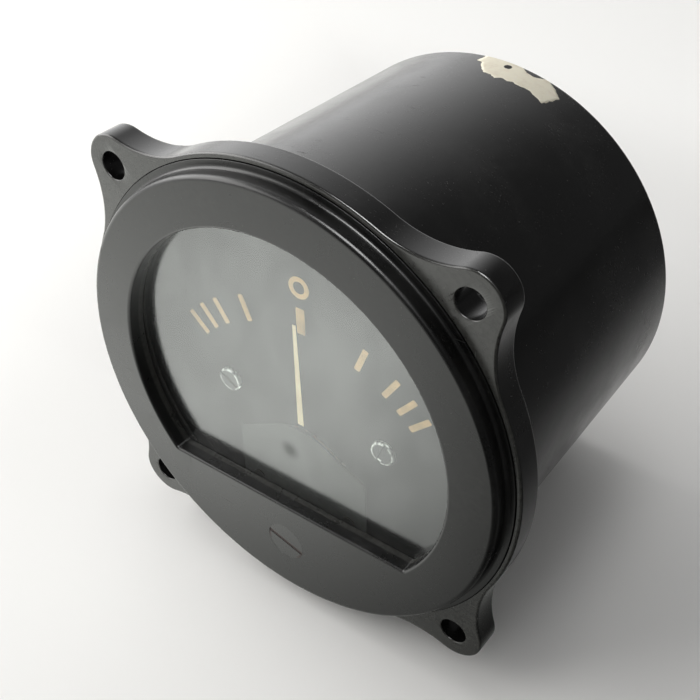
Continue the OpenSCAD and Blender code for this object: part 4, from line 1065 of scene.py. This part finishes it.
class INDICATOR_OT_studio(Step, Operator):
    """Sets the pale floor, the soft lamps, the pale surroundings and the camera"""

    bl_idname = "indicator.studio"
    bl_label = "Studio"

    def execute(self, context):
        scene = context.scene
        self.floor(scene.indicator_studio, scene.indicator_case)
        self.painted_reflection_card(scene.indicator_studio)
        self.surroundings(scene)
        self.lamps()
        self.camera(scene, scene.indicator_studio)
        scene.view_settings.view_transform = "Standard"
        return {"FINISHED"}

    def floor(self, s, case):
        """A wide plane that touches the flange in front and the case's back edge behind.

        The camera sees it glow a little far behind and far left, as painted light. Gloss sees it glow bright on
        the left, as a painted reflection, and dark on the right, as painted shade.
        """
        reach, edge_rise = 3.0, 0.25 * MM
        slope = (s.floor_front - case.back + edge_rise) / (case.depth - case.thickness)
        f = Finish("floor_white", s.floor_colour, 0.8)
        f.set("Specular IOR Level", 0.2)
        f.set("Emission Color", (1.0, 1.0, 0.98, 1.0))
        x, y = f.depth_of("X"), f.depth_of("Y")
        rays = f.node("ShaderNodeLightPath").outputs
        # Painted shade: only gloss sees the floor go dark to the right, as the indicator's shadow in its
        # reflections
        right = f.product(f.band(x, 0.02, 0.1), rays["Is Glossy Ray"])
        f.link(f.mix(right, s.floor_colour, (0.1, 0.1, 0.1)), "Base Color")
        # Painted reflection: only gloss sees the floor glow on the left
        left = f.product(f.band(x, -0.06, -0.3, 0.0, 0.72), rays["Is Glossy Ray"])
        # Painted light: the camera sees the floor glow a little far behind and far left
        far = f.math("MAXIMUM", f.band(y, 0.13, 0.19, 0.0, 0.15), f.band(x, -0.07, -0.15, 0.0, 0.15))
        f.link(f.total(left, f.product(far, rays["Is Camera Ray"])), "Emission Strength")
        stage_sheet("floor", (-reach, -reach), (reach, reach),
                    lambda y: -s.floor_front + slope * (y - case.thickness), f.material)

    def painted_reflection_card(self, s):
        """A glowing card on the floor at the left, in front of the indicator and out of the picture.

        Only gloss shows it, as a painted reflection. It brightens to the left, and is painted dim to the right and
        next to the indicator, as painted shadow.
        """
        tilt, lift = 0.095, 0.1 * MM
        f = Finish("card_glow")
        x, y = f.depth_of("X"), f.depth_of("Y")
        # Painted reflection with painted shadow: brightest far left, dim to the right and next to the indicator
        across = f.math("SUBTRACT", x, f.product(y, 0.21))
        strength = f.product(
            f.band(across, 0.058, -0.0395, 0.05, 2.25), f.band(y, -0.0286, -0.004, 1.0, 0.52),
            f.band(y, -0.12, -0.03, 0.7, 1.0))
        f.show(f.node("ShaderNodeEmission", {"Color": (0.985, 1.0, 0.955, 1.0), "Strength": strength}))
        card = stage_sheet("glowing_card", (-0.26, -0.26), (0.12, 0.02),
                           lambda y: -s.floor_front + tilt * y + lift, f.material)
        card.visible_camera = card.visible_diffuse = card.visible_shadow = False

    def surroundings(self, scene):
        """The light from all round: pale on the left and dark on the right."""
        world = bpy.data.worlds.new("surroundings")
        world.use_nodes = True
        tree = world.node_tree
        direction = add_node(tree, "ShaderNodeTexCoord").outputs["Generated"]
        bright_side = (-0.8, 0.3, -0.35)
        side = add_node(tree, "ShaderNodeVectorMath", {0: direction, 1: bright_side}, operation="DOT_PRODUCT")
        ramp = add_node(tree, "ShaderNodeMapRange", {
            "Value": side.outputs["Value"], "From Min": -0.18, "From Max": 0.85, "To Min": 0.1, "To Max": 1.9,
        }, interpolation_type="SMOOTHSTEP")
        background = tree.nodes["Background"].inputs
        tree.links.new(ramp.outputs["Result"], background["Color"])
        background["Strength"].default_value = 1.0
        scene.world = world

    def lamps(self):
        """Soft boxes: a large one on the left and a weak wide one above on the right.

        Overhead one shows only in gloss, and a small one lights only matt surfaces.
        """
        softbox("window", (-0.48, -0.17, 0.27), (0, 0, -0.02), (0.7, 0.4), 3.3, (1.0, 0.99, 0.97))
        softbox("ceiling", (0.28, -0.4, 0.62), (0.03, 0, -0.03), (0.6, 0.6), 0.8)
        overhead = softbox("overhead", (0.085, -0.234, 0.693), (0.015, -0.003, 0.035), (0.3, 0.4), 5.0)
        overhead.visible_diffuse = False
        sky = softbox("sky", (-0.03, 0.05, 0.7), (0, 0, 0), (0.25, 0.25), 0.8)
        sky.visible_glossy = False

    def camera(self, scene, s):
        """A camera that looks from its place to its aim and is turned about that line."""
        data = bpy.data.cameras.new("camera")
        data.lens, data.sensor_width, data.clip_start = s.lens, 36.0, 5 * MM
        camera = bpy.data.objects.new("camera", data)
        look = (Vector(s.camera_aim) - Vector(s.camera_place)).to_track_quat("-Z", "Y").to_matrix().to_4x4()
        roll = Matrix.Rotation(s.camera_roll, 4, "Z")
        camera.matrix_world = Matrix.Translation(s.camera_place) @ look @ roll
        scene.collection.objects.link(camera)
        scene.camera = camera


OPERATORS = (
    INDICATOR_OT_case, INDICATOR_OT_bezel, INDICATOR_OT_adjuster, INDICATOR_OT_glass, INDICATOR_OT_dial,
    INDICATOR_OT_label, INDICATOR_OT_terminals, INDICATOR_OT_movement, INDICATOR_OT_studio)


class INDICATOR_PT_panel(Panel):
    """Lists the steps and the sizes in the sidebar"""

    bl_idname = "INDICATOR_PT_panel"
    bl_label = "Panel indicator"
    bl_space_type = "VIEW_3D"
    bl_region_type = "UI"
    bl_category = "Indicator"

    def draw(self, context):
        for operator in OPERATORS:
            self.layout.operator(operator.bl_idname)
        for name, group in GROUPS.items():
            box = self.layout.box()
            for field in group.__annotations__:
                box.prop(getattr(context.scene, name), field)


def register():
    for cls in (*GROUPS.values(), *OPERATORS, INDICATOR_PT_panel):
        bpy.utils.register_class(cls)
    for name, group in GROUPS.items():
        setattr(bpy.types.Scene, name, PointerProperty(type=group))


def unregister():
    for name in GROUPS:
        delattr(bpy.types.Scene, name)
    for cls in reversed((*GROUPS.values(), *OPERATORS, INDICATOR_PT_panel)):
        bpy.utils.unregister_class(cls)


def main():
    register()
    for operator in OPERATORS:
        group, step = operator.bl_idname.split(".")
        getattr(getattr(bpy.ops, group), step)()
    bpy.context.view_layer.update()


if __name__ == "__main__":
    main()
